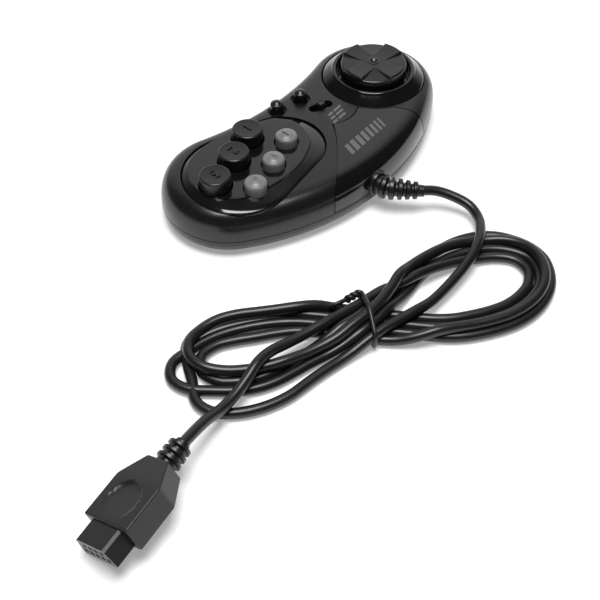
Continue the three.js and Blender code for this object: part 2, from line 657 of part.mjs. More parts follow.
// A flat-sided ring round the bundle, with its twisted ends lying along the bundle's top.
function makeTie() {
  const middle = WAIST_HEIGHT / 2 + TIE_THICKNESS / 2;
  const rise = WAIST_HEIGHT / 2 - TIE_THICKNESS / 2;
  const hole = post(0, 0, 1, -TIE_WIDTH, TIE_WIDTH, 16).rotate([0, 90, 0])
    .scale([1, WAIST_HALF + GAP, rise + GAP]).translate([0, 0, middle]);
  const ring = post(0, 0, 1, -TIE_WIDTH / 2, TIE_WIDTH / 2, 16).rotate([0, 90, 0])
    .scale([1, WAIST_HALF + GAP + TIE_THICKNESS, rise + GAP + TIE_THICKNESS]).translate([0, 0, middle])
    .intersect(block(0, 0, BIG, BIG, 0, BIG));
  const lift = WAIST_HEIGHT + 2 * GAP;
  const ends = block(5.5, -3, 11, 2.4, lift, lift + 1.6, 18);
  return onWaist(join(ring.subtract(hole), ends));
}

// ---- the plug ------------------------------------------------------------------------

// The plug is drawn with its nose along +X and its middle at the origin, then laid on one edge.
const PLUG_CENTRE = [163.9, 72.4, 9.3];
const PLUG_ROLL = 24;
const PLUG_PITCH = 7;
const PLUG_YAW = 9.2;
const BODY_FRONT = PLUG_LENGTH / 2;
const BODY_REAR = -PLUG_LENGTH / 2 - PLUG_SHOULDER;
const NOSE_HEIGHT = 8;
const NOSE_WIDE = 16.6;
const NOSE_NARROW = 13.8;
const NOSE_ROOT = 4;
const CONTACT_PITCH = 2.75;
const CONTACT_ROW_GAP = 2.85;

function layPlug(solid) {
  return solid.rotate([PLUG_ROLL, 0, 0]).rotate([0, PLUG_PITCH, 0]).rotate([0, 0, PLUG_YAW])
    .translate(PLUG_CENTRE);
}

function makePlugBody() {
  const half = PLUG_WIDTH / 2;
  const neck = PLUG_NECK / 2;
  const shape = new THREE.Shape([
    [BODY_FRONT, -half], [BODY_FRONT, half], [-BODY_FRONT, half], [BODY_REAR + 2, neck + 0.6],
    [BODY_REAR, neck], [BODY_REAR, -neck], [BODY_REAR + 2, -neck - 0.6], [-BODY_FRONT, -half],
  ].map(([x, y]) => new THREE.Vector2(x, y)));
  const geometry = new THREE.ExtrudeGeometry(shape, {
    depth: PLUG_THICKNESS - 2 * PLUG_EDGE, bevelThickness: PLUG_EDGE, bevelSize: PLUG_EDGE,
    bevelOffset: -PLUG_EDGE, bevelSegments: 1,
  });
  geometry.translate(0, 0, -PLUG_THICKNESS / 2 + PLUG_EDGE);
  const socket = nose(GAP, NOSE_ROOT + GAP, 1);
  return toSolid(geometry).subtract(socket);
}

// The D section runs along X, wider below, from a depth inside the body to a reach beyond its face.
function nose(margin, root, reach) {
  const high = NOSE_HEIGHT / 2 + margin;
  const wide = NOSE_WIDE / 2 + margin;
  const narrow = NOSE_NARROW / 2 + margin;
  const shape = new THREE.Shape([
    [-wide + 0.8, -high], [wide - 0.8, -high], [wide, -high + 0.8], [narrow, high - 0.8],
    [narrow - 0.8, high], [-narrow + 0.8, high], [-narrow, high - 0.8], [-wide, -high + 0.8],
  ].map(([x, y]) => new THREE.Vector2(x, y)));
  const geometry = new THREE.ExtrudeGeometry(shape, { depth: root + reach, bevelEnabled: false });
  geometry.rotateX(Math.PI / 2);
  geometry.rotateZ(Math.PI / 2);
  geometry.translate(BODY_FRONT - root, 0, 0);
  return toSolid(geometry);
}

// Five holes along the wider side of the nose and four along the narrower one.
const CONTACTS = [
  ...[-2, -1, 0, 1, 2].map((i) => [i * CONTACT_PITCH, -CONTACT_ROW_GAP / 2]),
  ...[-1.5, -0.5, 0.5, 1.5].map((i) => [i * CONTACT_PITCH, CONTACT_ROW_GAP / 2]),
];
const CONTACT_HOLE_RADIUS = 0.9;
const CONTACT_RADIUS = 0.68;
const CONTACT_BORE = 0.45;
const CONTACT_RECESS = 0.5;
const CONTACT_DEPTH = 7;

function alongNose(solid, [y, z]) {
  return solid.rotate([0, 90, 0]).translate([0, y, z]);
}

function makeNose() {
  const face = BODY_FRONT + NOSE_REACH;
  const holes = CONTACTS.map((place) => alongNose(
    post(0, 0, CONTACT_HOLE_RADIUS, face - CONTACT_DEPTH - 1, face + 1, 8), place));
  return nose(0, NOSE_ROOT, NOSE_REACH).subtract(join(...holes));
}

function makeContact(place) {
  const face = BODY_FRONT + NOSE_REACH - CONTACT_RECESS;
  const back = face - CONTACT_DEPTH + 1;
  return alongNose(turned([
    [0, back], [CONTACT_RADIUS, back], [CONTACT_RADIUS, face], [CONTACT_BORE, face],
    [CONTACT_BORE, back + 1], [0, back + 1],
  ], 0, 0, 8), place);
}

function makePlugRelief() {
  const start = BODY_REAR - GAP;
  const rings = BOOT_RINGS.map((radius, i) => post(
    0, 0, radius, -BOOT_RING_WIDTH / 2, BOOT_RING_WIDTH / 2, 20)
    .rotate([0, 90, 0]).translate([start - BOOT_RING_START - BOOT_RING_PITCH * i, 0, 0]));
  const core = post(0, 0, BOOT_CORE_RADIUS, 0, BOOT_LENGTH, 16).rotate([0, -90, 0]).translate([start, 0, 0]);
  return join(core, ...rings);
}

// ---- screws --------------------------------------------------------------------------

function makeCaseScrew([x, y]) {
  const head = SCREW_SEAT - GAP;
  return join(
    post(x, y, SCREW_HEAD_RADIUS, head - SCREW_HEAD_HEIGHT, head, 12),
    post(x, y, SCREW_RADIUS, head - 0.1, head + SCREW_LENGTH, 8))
    .subtract(crossSlot(x, y, head - SCREW_HEAD_HEIGHT - 1, head - SCREW_HEAD_HEIGHT + 0.9));
}

function makeBoardScrew([x, y]) {
  const seat = BOARD_TOP + GAP;
  return join(
    post(x, y, SCREW_HEAD_RADIUS, seat, seat + 1.2, 12),
    post(x, y, SCREW_RADIUS - SCREW_CLEARANCE, seat - 4.6, seat + 0.1, 8))
    .subtract(crossSlot(x, y, seat + 0.6, seat + 2));
}

function crossSlot(x, y, bottom, top) {
  return block(x, y, 2.4, 0.6, bottom, top).add(block(x, y, 0.6, 2.4, bottom, top));
}

// ---- finishes and assembly --------------------------------------------------------------

function finish(color, roughness, metalness = 0) {
  return new THREE.MeshStandardMaterial({ color, roughness, metalness });
}

const satinBlack = finish('#1c1c1e', 0.4);
const glossBlack = finish('#131315', 0.12);
const buttonBlack = finish('#18181a', 0.3);
const buttonGrey = finish('#6f6d6a', 0.45);
const cordBlack = finish('#1b1b1c', 0.5);
const plugBlack = finish('#1d1d1e', 0.55);
const silicone = finish('#b9b8b2', 0.7);
const boardGreen = finish('#1f5a3a', 0.5);
const chipBlack = finish('#111111', 0.5);
const steel = finish('#b8babd', 0.3, 1);
const brass = finish('#c9a24a', 0.3, 1);

const controller = new THREE.Group();

function addPiece(name, solid, material) {
  const mesh = new THREE.Mesh(toGeometry(solid), material);
  mesh.name = name;
  controller.add(mesh);
}

addPiece('top_shell', makeTopShell(), satinBlack);
addPiece('bottom_shell', makeBottomShell(), satinBlack);
addPiece('front_panel', makeFrontPanel(), glossBlack);
addPiece('dpad_bezel', makeDpadBezel(), glossBlack);
addPiece('button_bezel', makeButtonBezel(), glossBlack);
addPiece('dpad', makeDpad(), buttonBlack);
addPiece('dpad_rocker', makeDpadRocker(), satinBlack);
LARGE_BUTTONS.forEach((place, i) => {
  addPiece(`large_button_${i + 1}`, makeButton(place, LARGE_BUTTON_RADIUS, LARGE_BUTTON_TOP, 0, 20), buttonBlack);
});
SMALL_BUTTONS.forEach((place, i) => {
  addPiece(`small_button_${i + 1}`, makeButton(place, SMALL_BUTTON_RADIUS, SMALL_BUTTON_TOP, 0.5, 18), buttonGrey);
});
['mode_button', 'start_button'].forEach((name, i) => {
  addPiece(name, makeButton(PEGS[i], PEG_RADIUS, PEG_TOP, 0.7, 14), buttonBlack);
});

const dpadDomes = [0, 90, 180, 270].map((angle) => {
  const turn = angle * Math.PI / 180;
  return [DPAD.x + DPAD_FOOT_PITCH * Math.cos(turn), DPAD.y + DPAD_FOOT_PITCH * Math.sin(turn), 2.8];
});
const buttonDomes = [...LARGE_BUTTONS, ...SMALL_BUTTONS].map(([x, y]) => [x, y, 3.2]);
const pegDomes = PEGS.map(([x, y]) => [x, y, 2.4]);
addPiece('dpad_mat', makeMat(rectangle(DPAD.x, DPAD.y, 26, 26), dpadDomes), silicone);
addPiece('button_mat', makeMat(bezelOutline(-MAT_INSET), buttonDomes), silicone);
const pegMiddle = [(PEGS[0][0] + PEGS[1][0]) / 2, (PEGS[0][1] + PEGS[1][1]) / 2];
addPiece('start_mode_mat', makeMat(rectangle(...pegMiddle, 19, 7), pegDomes), silicone);

addPiece('main_board', makeBoard(), boardGreen);
addPiece('switch_body', makeSwitchBody(), steel);
addPiece('switch_knob', makeSwitchKnob(), buttonBlack);
addPiece('controller_chip', onBoard(CONTROLLER_CHIP), chipBlack);
addPiece('timer_chip', onBoard(TIMER_CHIP), chipBlack);
addPiece('smoothing_capacitor', post(...CAPACITOR_PLACE, CAPACITOR_RADIUS, MAT_BOTTOM,
  MAT_BOTTOM + CAPACITOR_HEIGHT, 20), chipBlack);
addPiece('pull_up_network', onBoard(PULL_UP_NETWORK), chipBlack);
addPiece('cord_header', onBoard(CORD_HEADER), silicone);
addPiece('inner_leads', tube(LEADS_PATH, LEADS_RADIUS, 8, 6), cordBlack);

addPiece('strain_relief', makeStrainRelief(), cordBlack);
addPiece('cord_lead', tube(LEAD_PATH, CORD_DIAMETER / 2, 8, 12), cordBlack);
addPiece('cord_hank', makeHank(), cordBlack);
addPiece('hank_tie', makeTie(), cordBlack);
addPiece('cord_tail', tube(TAIL_PATH, CORD_DIAMETER / 2, 8, 6), cordBlack);
addPiece('plug_relief', layPlug(makePlugRelief()), cordBlack);
addPiece('plug_body', layPlug(makePlugBody()), plugBlack);
addPiece('plug_nose', layPlug(makeNose()), plugBlack);
CONTACTS.forEach((place, i) => {
  addPiece(`plug_contact_${i + 1}`, layPlug(makeContact(place)), brass);
});
CASE_SCREWS.forEach((place, i) => addPiece(`case_screw_${i + 1}`, makeCaseScrew(place), steel));
BOARD_SCREWS.forEach((place, i) => addPiece(`board_screw_${i + 1}`, makeBoardScrew(place), steel));

export default controller;
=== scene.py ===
import math

import bpy
import bmesh
import mathutils
import numpy as np
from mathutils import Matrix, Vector


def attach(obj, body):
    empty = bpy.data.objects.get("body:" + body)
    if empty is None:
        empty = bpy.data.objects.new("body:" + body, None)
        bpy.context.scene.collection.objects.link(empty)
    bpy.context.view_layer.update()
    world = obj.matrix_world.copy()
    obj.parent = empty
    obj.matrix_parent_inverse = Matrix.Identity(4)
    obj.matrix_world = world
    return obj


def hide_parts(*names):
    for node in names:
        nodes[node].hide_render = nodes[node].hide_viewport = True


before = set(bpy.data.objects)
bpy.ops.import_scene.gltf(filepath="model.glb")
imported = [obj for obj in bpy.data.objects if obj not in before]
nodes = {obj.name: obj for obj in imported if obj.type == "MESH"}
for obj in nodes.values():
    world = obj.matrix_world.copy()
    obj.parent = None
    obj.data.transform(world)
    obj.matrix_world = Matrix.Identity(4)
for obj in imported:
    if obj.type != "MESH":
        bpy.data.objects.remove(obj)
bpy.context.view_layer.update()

# ---- Camera, floor and lights ------------------------------------------------
# The controller lies on a plain white table, seen from the player's right and
# above. One broad soft box hangs over it, and a graded room gives soft glints.

scene = bpy.context.scene

camera_place = Vector((0.25749, 0.23074, 0.30097))
camera_aim = Vector((0.05929, 0.04592, 0.0))
camera_data = bpy.data.cameras.new("camera")
camera_data.lens = 66.0
camera_data.sensor_width = 36.0
camera_data.clip_start = 0.01
camera = bpy.data.objects.new("camera", camera_data)
camera.location = camera_place
camera.rotation_euler = (camera_aim - camera_place).to_track_quat("-Z", "Y").to_euler()
scene.collection.objects.link(camera)
scene.camera = camera


def linear(code):
    """The linear colour of an sRGB hex code, by the sRGB curve."""
    parts = [int(code[i:i + 2], 16) / 255 for i in (1, 3, 5)]
    return tuple(c / 12.92 if c <= 0.04045 else ((c + 0.055) / 1.055) ** 2.4 for c in parts) + (1.0,)


def add(material, kind, sockets=(), links=(), **settings):
    """Adds a node of a kind, sets its properties and its named sockets, and joins (output, socket) pairs to it."""
    node = material.node_tree.nodes.new(kind)
    for name, value in settings.items():
        setattr(node, name, value)
    for name, value in dict(sockets).items():
        node.inputs[name].default_value = value
    for output, name in links:
        material.node_tree.links.new(output, node.inputs[name])
    return node


def new_material(name):
    """An empty node material and its Principled shader, joined to the output."""
    material = bpy.data.materials.new(name)
    material.use_nodes = True
    material.node_tree.nodes.clear()
    shader = add(material, "ShaderNodeBsdfPrincipled")
    add(material, "ShaderNodeOutputMaterial", links=[(shader.outputs["BSDF"], "Surface")])
    return material, shader


def soft_box(name, place, aim, width, height, watts):
    """A rectangular area light at place that faces aim."""
    data = bpy.data.lights.new(name, "AREA")
    data.shape = "RECTANGLE"
    data.size = width
    data.size_y = height
    data.energy = watts
    lamp = bpy.data.objects.new(name, data)
    lamp.location = Vector(place)
    lamp.rotation_euler = (Vector(aim) - Vector(place)).to_track_quat("-Z", "Y").to_euler()
    scene.collection.objects.link(lamp)


TABLE_COLOUR = "#f6f6f6"
table_half = 3.0
table_mesh = bpy.data.meshes.new("table_top")
table_mesh.from_pydata(
    [(-table_half, -table_half, -0.0004), (table_half, -table_half, -0.0004),
     (table_half, table_half, -0.0004), (-table_half, table_half, -0.0004)],
    [], [(0, 1, 2, 3)])
table_top = bpy.data.objects.new("table_top", table_mesh)
scene.collection.objects.link(table_top)
table_paint, table_shader = new_material("matte_white_table")
table_shader.inputs["Base Color"].default_value = linear(TABLE_COLOUR)
table_shader.inputs["Roughness"].default_value = 0.9
table_shader.inputs["Specular IOR Level"].default_value = 0.1
table_shader.inputs["Emission Color"].default_value = (1.0, 1.0, 1.0, 1.0)
table_shader.inputs["Emission Strength"].default_value = 0.30
table_mesh.materials.append(table_paint)

# The room is pale behind the table and dark behind the camera: black plastic shows grey on faces that mirror the
# back of the room, and stays deep black on faces that mirror the front of it.
world = bpy.data.worlds.new("studio_room")
world.use_nodes = True
ROOM_BACK = (-0.72, -0.66, 0.15)
sky = add(world, "ShaderNodeTexCoord").outputs["Generated"]
facing = add(world, "ShaderNodeVectorMath", {1: ROOM_BACK}, [(sky, 0)], operation="DOT_PRODUCT")
room_light = add(world, "ShaderNodeMapRange", {"From Min": 0.45, "From Max": 0.95, "To Min": 0.04, "To Max": 0.85},
                 [(facing.outputs["Value"], "Value")], interpolation_type="SMOOTHSTEP")
backdrop = world.node_tree.nodes["Background"]
backdrop.inputs["Color"].default_value = (1.0, 1.0, 1.0, 1.0)
world.node_tree.links.new(room_light.outputs["Result"], backdrop.inputs["Strength"])
scene.world = world
scene.view_settings.view_transform = "Standard"

soft_box("overhead_box", (0.12, 0.08, 0.95), (0.05, 0.03, 0.0), 0.50, 0.50, 9.0)

# ---- The cord ------------------------------------------------------------------
# A round 4 mm cord with a soft black vinyl jacket. It leaves the case through the
# strain relief, is wound into a figure of eight by hand, and is tied at its waist.

CORD_DIAMETER = 0.0040
CORD_JACKET = "#171718"


def smooth_line(points, steps=12):
    """A curve through the points: each span is a cubic whose end slopes blend the slopes of the two spans that meet
    there, with the spans timed by the square root of their lengths. Returns steps places per span."""
    p = np.asarray(points, float)
    t = np.concatenate([[0], np.cumsum(np.linalg.norm(np.diff(p, axis=0), axis=1) ** 0.5)])[:, None]
    slope = np.diff(p, axis=0) / np.diff(t, axis=0)
    before, after = np.diff(t, axis=0)[:-1], np.diff(t, axis=0)[1:]
    m = np.vstack([slope[:1], (slope[:-1] * after + slope[1:] * before) / (before + after), slope[-1:]])
    s = (np.arange(steps) / steps)[None, :, None]
    span = np.diff(t, axis=0)[:, None]
    rows = ((2 * s**3 - 3 * s**2 + 1) * p[:-1, None] + (s**3 - 2 * s**2 + s) * span * m[:-1, None]
            + (3 * s**2 - 2 * s**3) * p[1:, None] + (s**3 - s**2) * span * m[1:, None])
    return np.vstack([rows.reshape(-1, 3), p[-1:]])


def even_steps(line, step):
    """The same line, with its points one step apart along it."""
    at = np.concatenate([[0], np.cumsum(np.linalg.norm(np.diff(line, axis=0), axis=1))])
    places = np.linspace(0, at[-1], int(round(at[-1] / step)) + 1)
    return np.stack([np.interp(places, at, line[:, axis]) for axis in range(3)], 1)


# Places in millimetres. Each loop at the plug's end of the hank runs in along the near side, round the end and
# back along the far side; each loop at the other end does the same, one step further out.
lead = [
    (-7.6, 46.7, 10.1), (-10.1, 49.1, 9.7), (-13.2, 51.2, 9.1), (-18.3, 62.9, 6.6),
    (-16.5, 69.4, 6.6), (-11.5, 74.5, 7.6), (-2.5, 79.9, 9.2), (8.3, 82.7, 9.6),
    (20.8, 84.0, 9.0), (33.0, 84.2, 8.2), (43.0, 82.3, 7.4)]
plug_side_loops = [
    [(68.4, 75.9, 4.0), (81.0, 75.6, 2.0), (98.8, 73.5, 2.0), (112.4, 65.7, 2.0),
     (117.7, 55.7, 2.0), (114.4, 46.8, 2.0), (104.7, 34.5, 2.0), (92.7, 33.1, 2.0),
     (77.4, 40.6, 2.0), (65.2, 51.5, 2.0), (57.8, 62.2, 2.5)],
    [(68.4, 72.6, 4.0), (79.0, 70.0, 2.0), (95.6, 65.7, 2.0), (108.5, 56.9, 2.0),
     (115.4, 48.2, 2.0), (116.4, 41.4, 2.0), (112.2, 36.4, 2.0), (104.4, 34.6, 2.0), (94.6, 36.6, 2.0),
     (80.8, 43.9, 2.0), (68.4, 54.4, 2.0), (58.4, 63.8, 2.0)],
    [(67.4, 70.3, 4.0), (80.5, 65.7, 2.0), (94.8, 61.8, 2.0), (104.6, 55.0, 2.0),
     (108.8, 47.4, 2.0), (105.6, 40.4, 2.0), (97.2, 39.6, 2.0), (85.4, 47.0, 2.0),
     (71.8, 57.6, 2.0), (59.6, 65.9, 2.0)],
    [(66.9, 69.7, 8.5), (81.3, 66.4, 6.5), (95.0, 61.4, 6.0), (103.8, 53.9, 6.0),
     (108.8, 45.3, 6.0), (107.6, 37.5, 6.0), (101.2, 33.2, 6.0), (89.1, 33.8, 6.0),
     (77.7, 41.1, 6.0), (67.3, 50.9, 6.0), (59.3, 61.6, 5.5)],
]
case_side_loops = [
    [(45.6, 83.0, 2.0), (36.3, 92.9, 2.0), (25.2, 101.5, 2.0), (12.7, 107.8, 2.0),
     (-0.3, 108.8, 2.0), (-9.8, 105.0, 2.0), (-15.1, 95.4, 2.0), (-10.3, 84.0, 2.0),
     (1.0, 75.8, 2.0), (18.8, 72.1, 2.0), (33.5, 71.2, 2.0)],
    [(49.4, 84.3, 2.0), (39.6, 95.6, 2.0), (28.1, 104.5, 2.0), (13.3, 111.4, 2.0),
     (-0.0, 112.1, 2.0), (-11.1, 107.2, 2.0), (-18.5, 96.7, 2.0), (-15.0, 81.9, 2.0),
     (-3.3, 72.5, 2.0), (16.3, 68.7, 2.0), (31.8, 67.8, 2.0)],
    [(48.9, 84.5, 6.0), (39.3, 94.8, 6.0), (27.4, 103.4, 6.0), (14.0, 109.4, 6.0),
     (1.7, 109.9, 6.0), (-9.0, 105.2, 6.0), (-15.3, 94.4, 6.0), (-12.8, 81.5, 6.0),
     (-0.9, 71.9, 6.0), (18.0, 68.7, 6.0), (33.0, 67.6, 6.0)],
    [(42.7, 82.0, 2.0), (33.3, 90.6, 2.0), (23.2, 98.7, 2.0), (11.8, 104.5, 2.0),
     (1.3, 105.5, 2.0), (-5.8, 102.9, 2.0), (-9.8, 97.0, 2.0), (-8.9, 90.4, 2.0), (-4.4, 85.0, 2.5),
     (4.6, 78.6, 5.0), (16.8, 73.3, 6.2), (31.5, 71.9, 7.5)],
]
tail = [
    (62.8, 64.6, 10.2), (76.8, 61.6, 10.0), (88.9, 59.8, 10.0), (100.9, 61.7, 10.0),
    (109.8, 63.2, 8.8), (119.0, 64.3, 8.0), (126.5, 65.4, 9.6), (131.5, 66.7, 11.2), (136.6, 67.9, 12.3),
    (141.0, 68.7, 12.0)]

# Nine runs cross in the tie, each given by its place across the tie and its height: four below, five over them.
WAIST = np.array([52.9, 73.3, 0.0])
ALONG_WAIST = np.array([0.815, -0.580, 0.0])
ACROSS_WAIST = np.array([0.580, 0.815, 0.0])
runs_over = [(7.0, 6.4), (2.0, 6.2), (-3.1, 6.2), (-0.6, 9.8), (-7.2, 7.6)]
runs_under = [(-2.3, 2.1), (2.5, 2.1), (7.2, 2.4), (-6.8, 2.4)]


def at_waist(run):
    """The place where a run goes through the tie."""
    side, height = run
    return WAIST + side * ACROSS_WAIST + np.array([0, 0, height])


places = [*lead, at_waist(runs_over[0])]
for turn in range(4):
    places += [*plug_side_loops[turn][1:-1], at_waist(runs_under[turn])]
    places += [*case_side_loops[turn][1:-1], at_waist(runs_over[turn + 1])]
route = np.array([*places, *tail]) / 1000


def settle(line, rounds, ends):
    """Lays the turns beside and on each other. In each round, points nearer than a diameter push each other apart,
    each point's move is eased towards its neighbours' moves, and everything sinks a little towards the table."""
    start, place = line, line.copy()
    at = np.arange(len(line))
    apart = np.abs(at[:, None] - at) > 7
    for _ in range(rounds):
        gap = place[:, None] - place
        reach = np.linalg.norm(gap, axis=2)
        crowd = np.where(apart & (reach < CORD_DIAMETER), CORD_DIAMETER - reach, 0)
        push = 0.3 * (gap / np.maximum(reach, 1e-9)[..., None] * crowd[..., None]).sum(1)
        size = np.linalg.norm(push, axis=1, keepdims=True)
        push *= np.minimum(1, 0.00035 / np.maximum(size, 1e-12))
        moved = place - start
        ease = np.zeros_like(place)
        ease[1:-1] = (moved[:-2] + moved[2:]) / 2 - moved[1:-1]
        place = place + push + 0.45 * ease
        place[:, 2] = np.maximum(place[:, 2] - 0.00002, CORD_DIAMETER / 2)
        place[:ends] = start[:ends]
        place[-ends:] = start[-ends:]
    return place


cord_line = settle(even_steps(smooth_line(route), 0.0018), 200, 12)
cord_line = even_steps(smooth_line(cord_line[::4], 6), 0.0018)
cord_line[:, 2] = np.maximum(cord_line[:, 2], CORD_DIAMETER / 2)


def swept_curve(name, line, radius, closed=False):
    """A round cord as a curve: one poly spline through the line's points, with a round bevel of the radius."""
    data = bpy.data.curves.new(name, "CURVE")
    data.dimensions = "3D"
    data.bevel_depth = radius
    data.bevel_resolution = 5
    data.use_fill_caps = True
    spline = data.splines.new("POLY")
    spline.points.add(len(line) - 1)
    spline.points.foreach_set("co", np.hstack([line, np.ones((len(line), 1))]).ravel())
    spline.use_cyclic_u = closed
    spline.use_smooth = True
    piece = bpy.data.objects.new(name, data)
    scene.collection.objects.link(piece)
    return piece


def moulded_plastic(name, colour, roughness, grain_mm, grain_height_mm, wear=0.0, coat=0.0):
    """Moulded plastic: one colour that clouds very slightly, an even fine grain from the mould, and faint rub marks
    that change only the gloss."""
    material, shader = new_material(name)
    place = add(material, "ShaderNodeTexCoord").outputs["Object"]
    cloud = add(material, "ShaderNodeTexNoise", {"Scale": 1000 / 14, "Detail": 3.0}, [(place, "Vector")])
    tint = add(material, "ShaderNodeMixRGB", {"Color1": linear(colour)}, [(cloud.outputs["Fac"], "Fac")])
    tint.inputs["Color2"].default_value = tuple(min(1, 1.35 * c) for c in linear(colour)[:3]) + (1.0,)
    add_links = material.node_tree.links
    add_links.new(tint.outputs["Color"], shader.inputs["Base Color"])
    rubs = add(material, "ShaderNodeTexNoise", {"Scale": 1000 / 5, "Detail": 6.0, "Roughness": 0.65},
               [(place, "Vector")])
    gloss = add(material, "ShaderNodeMapRange",
                {"From Min": 0.35, "From Max": 0.75, "To Min": roughness, "To Max": roughness + 0.02 + 0.5 * wear},
                [(rubs.outputs["Fac"], "Value")])
    add_links.new(gloss.outputs["Result"], shader.inputs["Roughness"])
    if grain_height_mm:
        grain = add(material, "ShaderNodeTexNoise", {"Scale": 1000 / grain_mm, "Detail": 2.0}, [(place, "Vector")])
        bump = add(material, "ShaderNodeBump", {"Strength": 0.5, "Distance": grain_height_mm / 1000},
                   [(grain.outputs["Fac"], "Height")])
        add_links.new(bump.outputs["Normal"], shader.inputs["Normal"])
    shader.inputs["IOR"].default_value = 1.53
    shader.inputs["Coat Weight"].default_value = coat
    shader.inputs["Coat Roughness"].default_value = 0.04
    return material


# Extruded vinyl: smooth and a little greasy, with a soft streak of light along each turn.
cord_vinyl = moulded_plastic("extruded_black_vinyl", CORD_JACKET, 0.30, 0.8, 0.008, wear=0.06)

cord = swept_curve("cord", cord_line, CORD_DIAMETER / 2)
cord.data.materials.append(cord_vinyl)
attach(cord, "case")
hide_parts("cord_lead", "cord_hank", "cord_tail")

# ---- Strain relief -----------------------------------------------------------
# Soft vinyl moulded round the cord where it leaves the case: a plain root in the
# case's collar, then a taper with raised rings, so that the cord bends slowly.

RELIEF_TURNS = np.array([
    (0.0, 31.5, 10.5), (0.0, 35.0, 10.5), (-1.0, 38.2, 10.5), (-3.4, 41.6, 10.4), (-6.4, 45.0, 10.1),
    (-9.4, 48.4, 9.8)]) / 1000


def along_frames(line):
    """For each point of a line, its forward direction and two directions square to it, one as level as it can be."""
    forward = np.gradient(line, axis=0)
    forward /= np.linalg.norm(forward, axis=1, keepdims=True)
    side = np.cross(forward, [0.0, 0.0, 1.0])
    side /= np.linalg.norm(side, axis=1, keepdims=True)
    return forward, side, np.cross(side, forward)


def skin(name, rings, material, crease=40, smooth=True):
    """A closed surface through rings of points, each ring closed on itself, with a flat lid on the first and the
    last. The faces are turned outwards, and edges sharper than the crease stay sharp."""
    count, around = rings.shape[:2]
    at = np.arange(count * around).reshape(count, around)
    beside = np.roll(at, -1, axis=1)
    walls = np.stack([at[:-1], beside[:-1], beside[1:], at[1:]], -1).reshape(-1, 4)
    places = rings.reshape(-1, 3)
    a, b, c, d = (places[walls[:, k]] for k in range(4))
    volume = (np.einsum("ij,ij->i", a, np.cross(b, c)) + np.einsum("ij,ij->i", a, np.cross(c, d))).sum()
    lids = [at[0][::-1], at[-1]]
    for lid in lids:
        volume += (np.cross(places[lid[1:-1]], places[lid[2:]]) @ places[lid[0]]).sum()
    faces = [tuple(face) for face in walls.tolist()] + [tuple(lid.tolist()) for lid in lids]
    if volume < 0:
        faces = [face[::-1] for face in faces]
    return shaped(name, places, faces, material, crease, smooth)


def shaped(name, places, faces, material, crease=40, smooth=True):
    """A mesh piece from points and faces, shaded smooth except across edges sharper than the crease."""
    mesh = bpy.data.meshes.new(name)
    mesh.from_pydata(np.asarray(places).tolist(), [], faces)
    mesh.update()
    if smooth:
        mesh.shade_smooth()
        mesh.set_sharp_from_angle(angle=math.radians(crease))
    mesh.materials.append(material)
    piece = bpy.data.objects.new(name, mesh)
    scene.collection.objects.link(piece)
    return piece


def bump_up(x, centre, width, edge):
    """1 within half a width of a centre, falling smoothly to 0 over an edge."""
    t = np.clip((width / 2 + edge / 2 - np.abs(x - centre)) / edge, 0, 1)
    return t * t * (3 - 2 * t)


relief_line = even_steps(smooth_line(RELIEF_TURNS, 20), 0.00012)
relief_at = np.linspace(0, 1, len(relief_line))
relief_length = 0.00012 * (len(relief_line) - 1) * 1000
from_root = relief_at * relief_length
relief_radius = np.interp(from_root, [0, 3.2, 3.6, relief_length], [3.95, 3.95, 3.2, 2.3])
for ring in range(5):
    relief_radius = relief_radius + (1.65 - 0.16 * ring) * bump_up(from_root, 4.6 + 3.0 * ring, 1.75, 0.45)
relief_radius[-1] = 2.05
_, aside, above = along_frames(relief_line)
turn = np.linspace(0, 2 * np.pi, 48, endpoint=False)
relief_rings = relief_line[:, None] + relief_radius[:, None, None] / 1000 * (
    np.cos(turn)[None, :, None] * aside[:, None] + np.sin(turn)[None, :, None] * above[:, None])
strain_relief = skin("strain_relief_boot", relief_rings[::2], cord_vinyl, 60)
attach(strain_relief, "case")
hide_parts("strain_relief")

# ---- The tie --------------------------------------------------------------------
# A soft wire in a black plastic skin, put once round the middle of the hank. Its
# two ends are twisted together, and the last of them is bent back into a small eye.

TIE_RADIUS = 0.0009
WIDEST_RUN = 16.0
TWIST_LENGTH, TWIST_RADIUS, TWIST_TURNS, TWIST_DROP = 6.5, 0.74, 1.6, 0.8
EYE_HALF_LENGTH, EYE_HALF_WIDTH = 2.9, 1.7

# Each run cuts the tie's plane in an ellipse; the wire is drawn tight round all of them, as the smallest outline
# with no hollows, and its corners are rounded by the stiffness of the wire.
ahead = (1000 * cord_line - WAIST) @ ALONG_WAIST
beside = (1000 * cord_line - WAIST) @ ACROSS_WAIST
cuts = np.flatnonzero((ahead[:-1] * ahead[1:] < 0) & (np.abs(beside[:-1]) < WIDEST_RUN))
stride = (cord_line[1:] - cord_line[:-1])[cuts]
slant = np.abs(stride @ ALONG_WAIST) / np.linalg.norm(stride, axis=1)
reach = 1000 * (CORD_DIAMETER / 2 + TIE_RADIUS)
round_turn = np.linspace(0, 2 * np.pi, 24, endpoint=False)
rims = np.stack([beside[cuts][:, None] + reach / np.maximum(slant, 0.6)[:, None] * np.cos(round_turn),
                 1000 * cord_line[cuts, 2][:, None] + reach * np.sin(round_turn)], 2).reshape(-1, 2)
rims[:, 1] = np.maximum(rims[:, 1], 1000 * TIE_RADIUS)
hull = rims[mathutils.geometry.convex_hull_2d([tuple(rim) for rim in rims])]
band_outline = even_steps(np.column_stack([np.vstack([hull, hull[:1]]), np.zeros(len(hull) + 1)]), 0.6)[:-1, :2]
for _ in range(3):
    band_outline = (np.roll(band_outline, 1, 0) + 2 * band_outline + np.roll(band_outline, -1, 0)) / 4
band_line = (WAIST + band_outline[:, :1] * ACROSS_WAIST + band_outline[:, 1:] * np.array([0, 0, 1.0])) / 1000
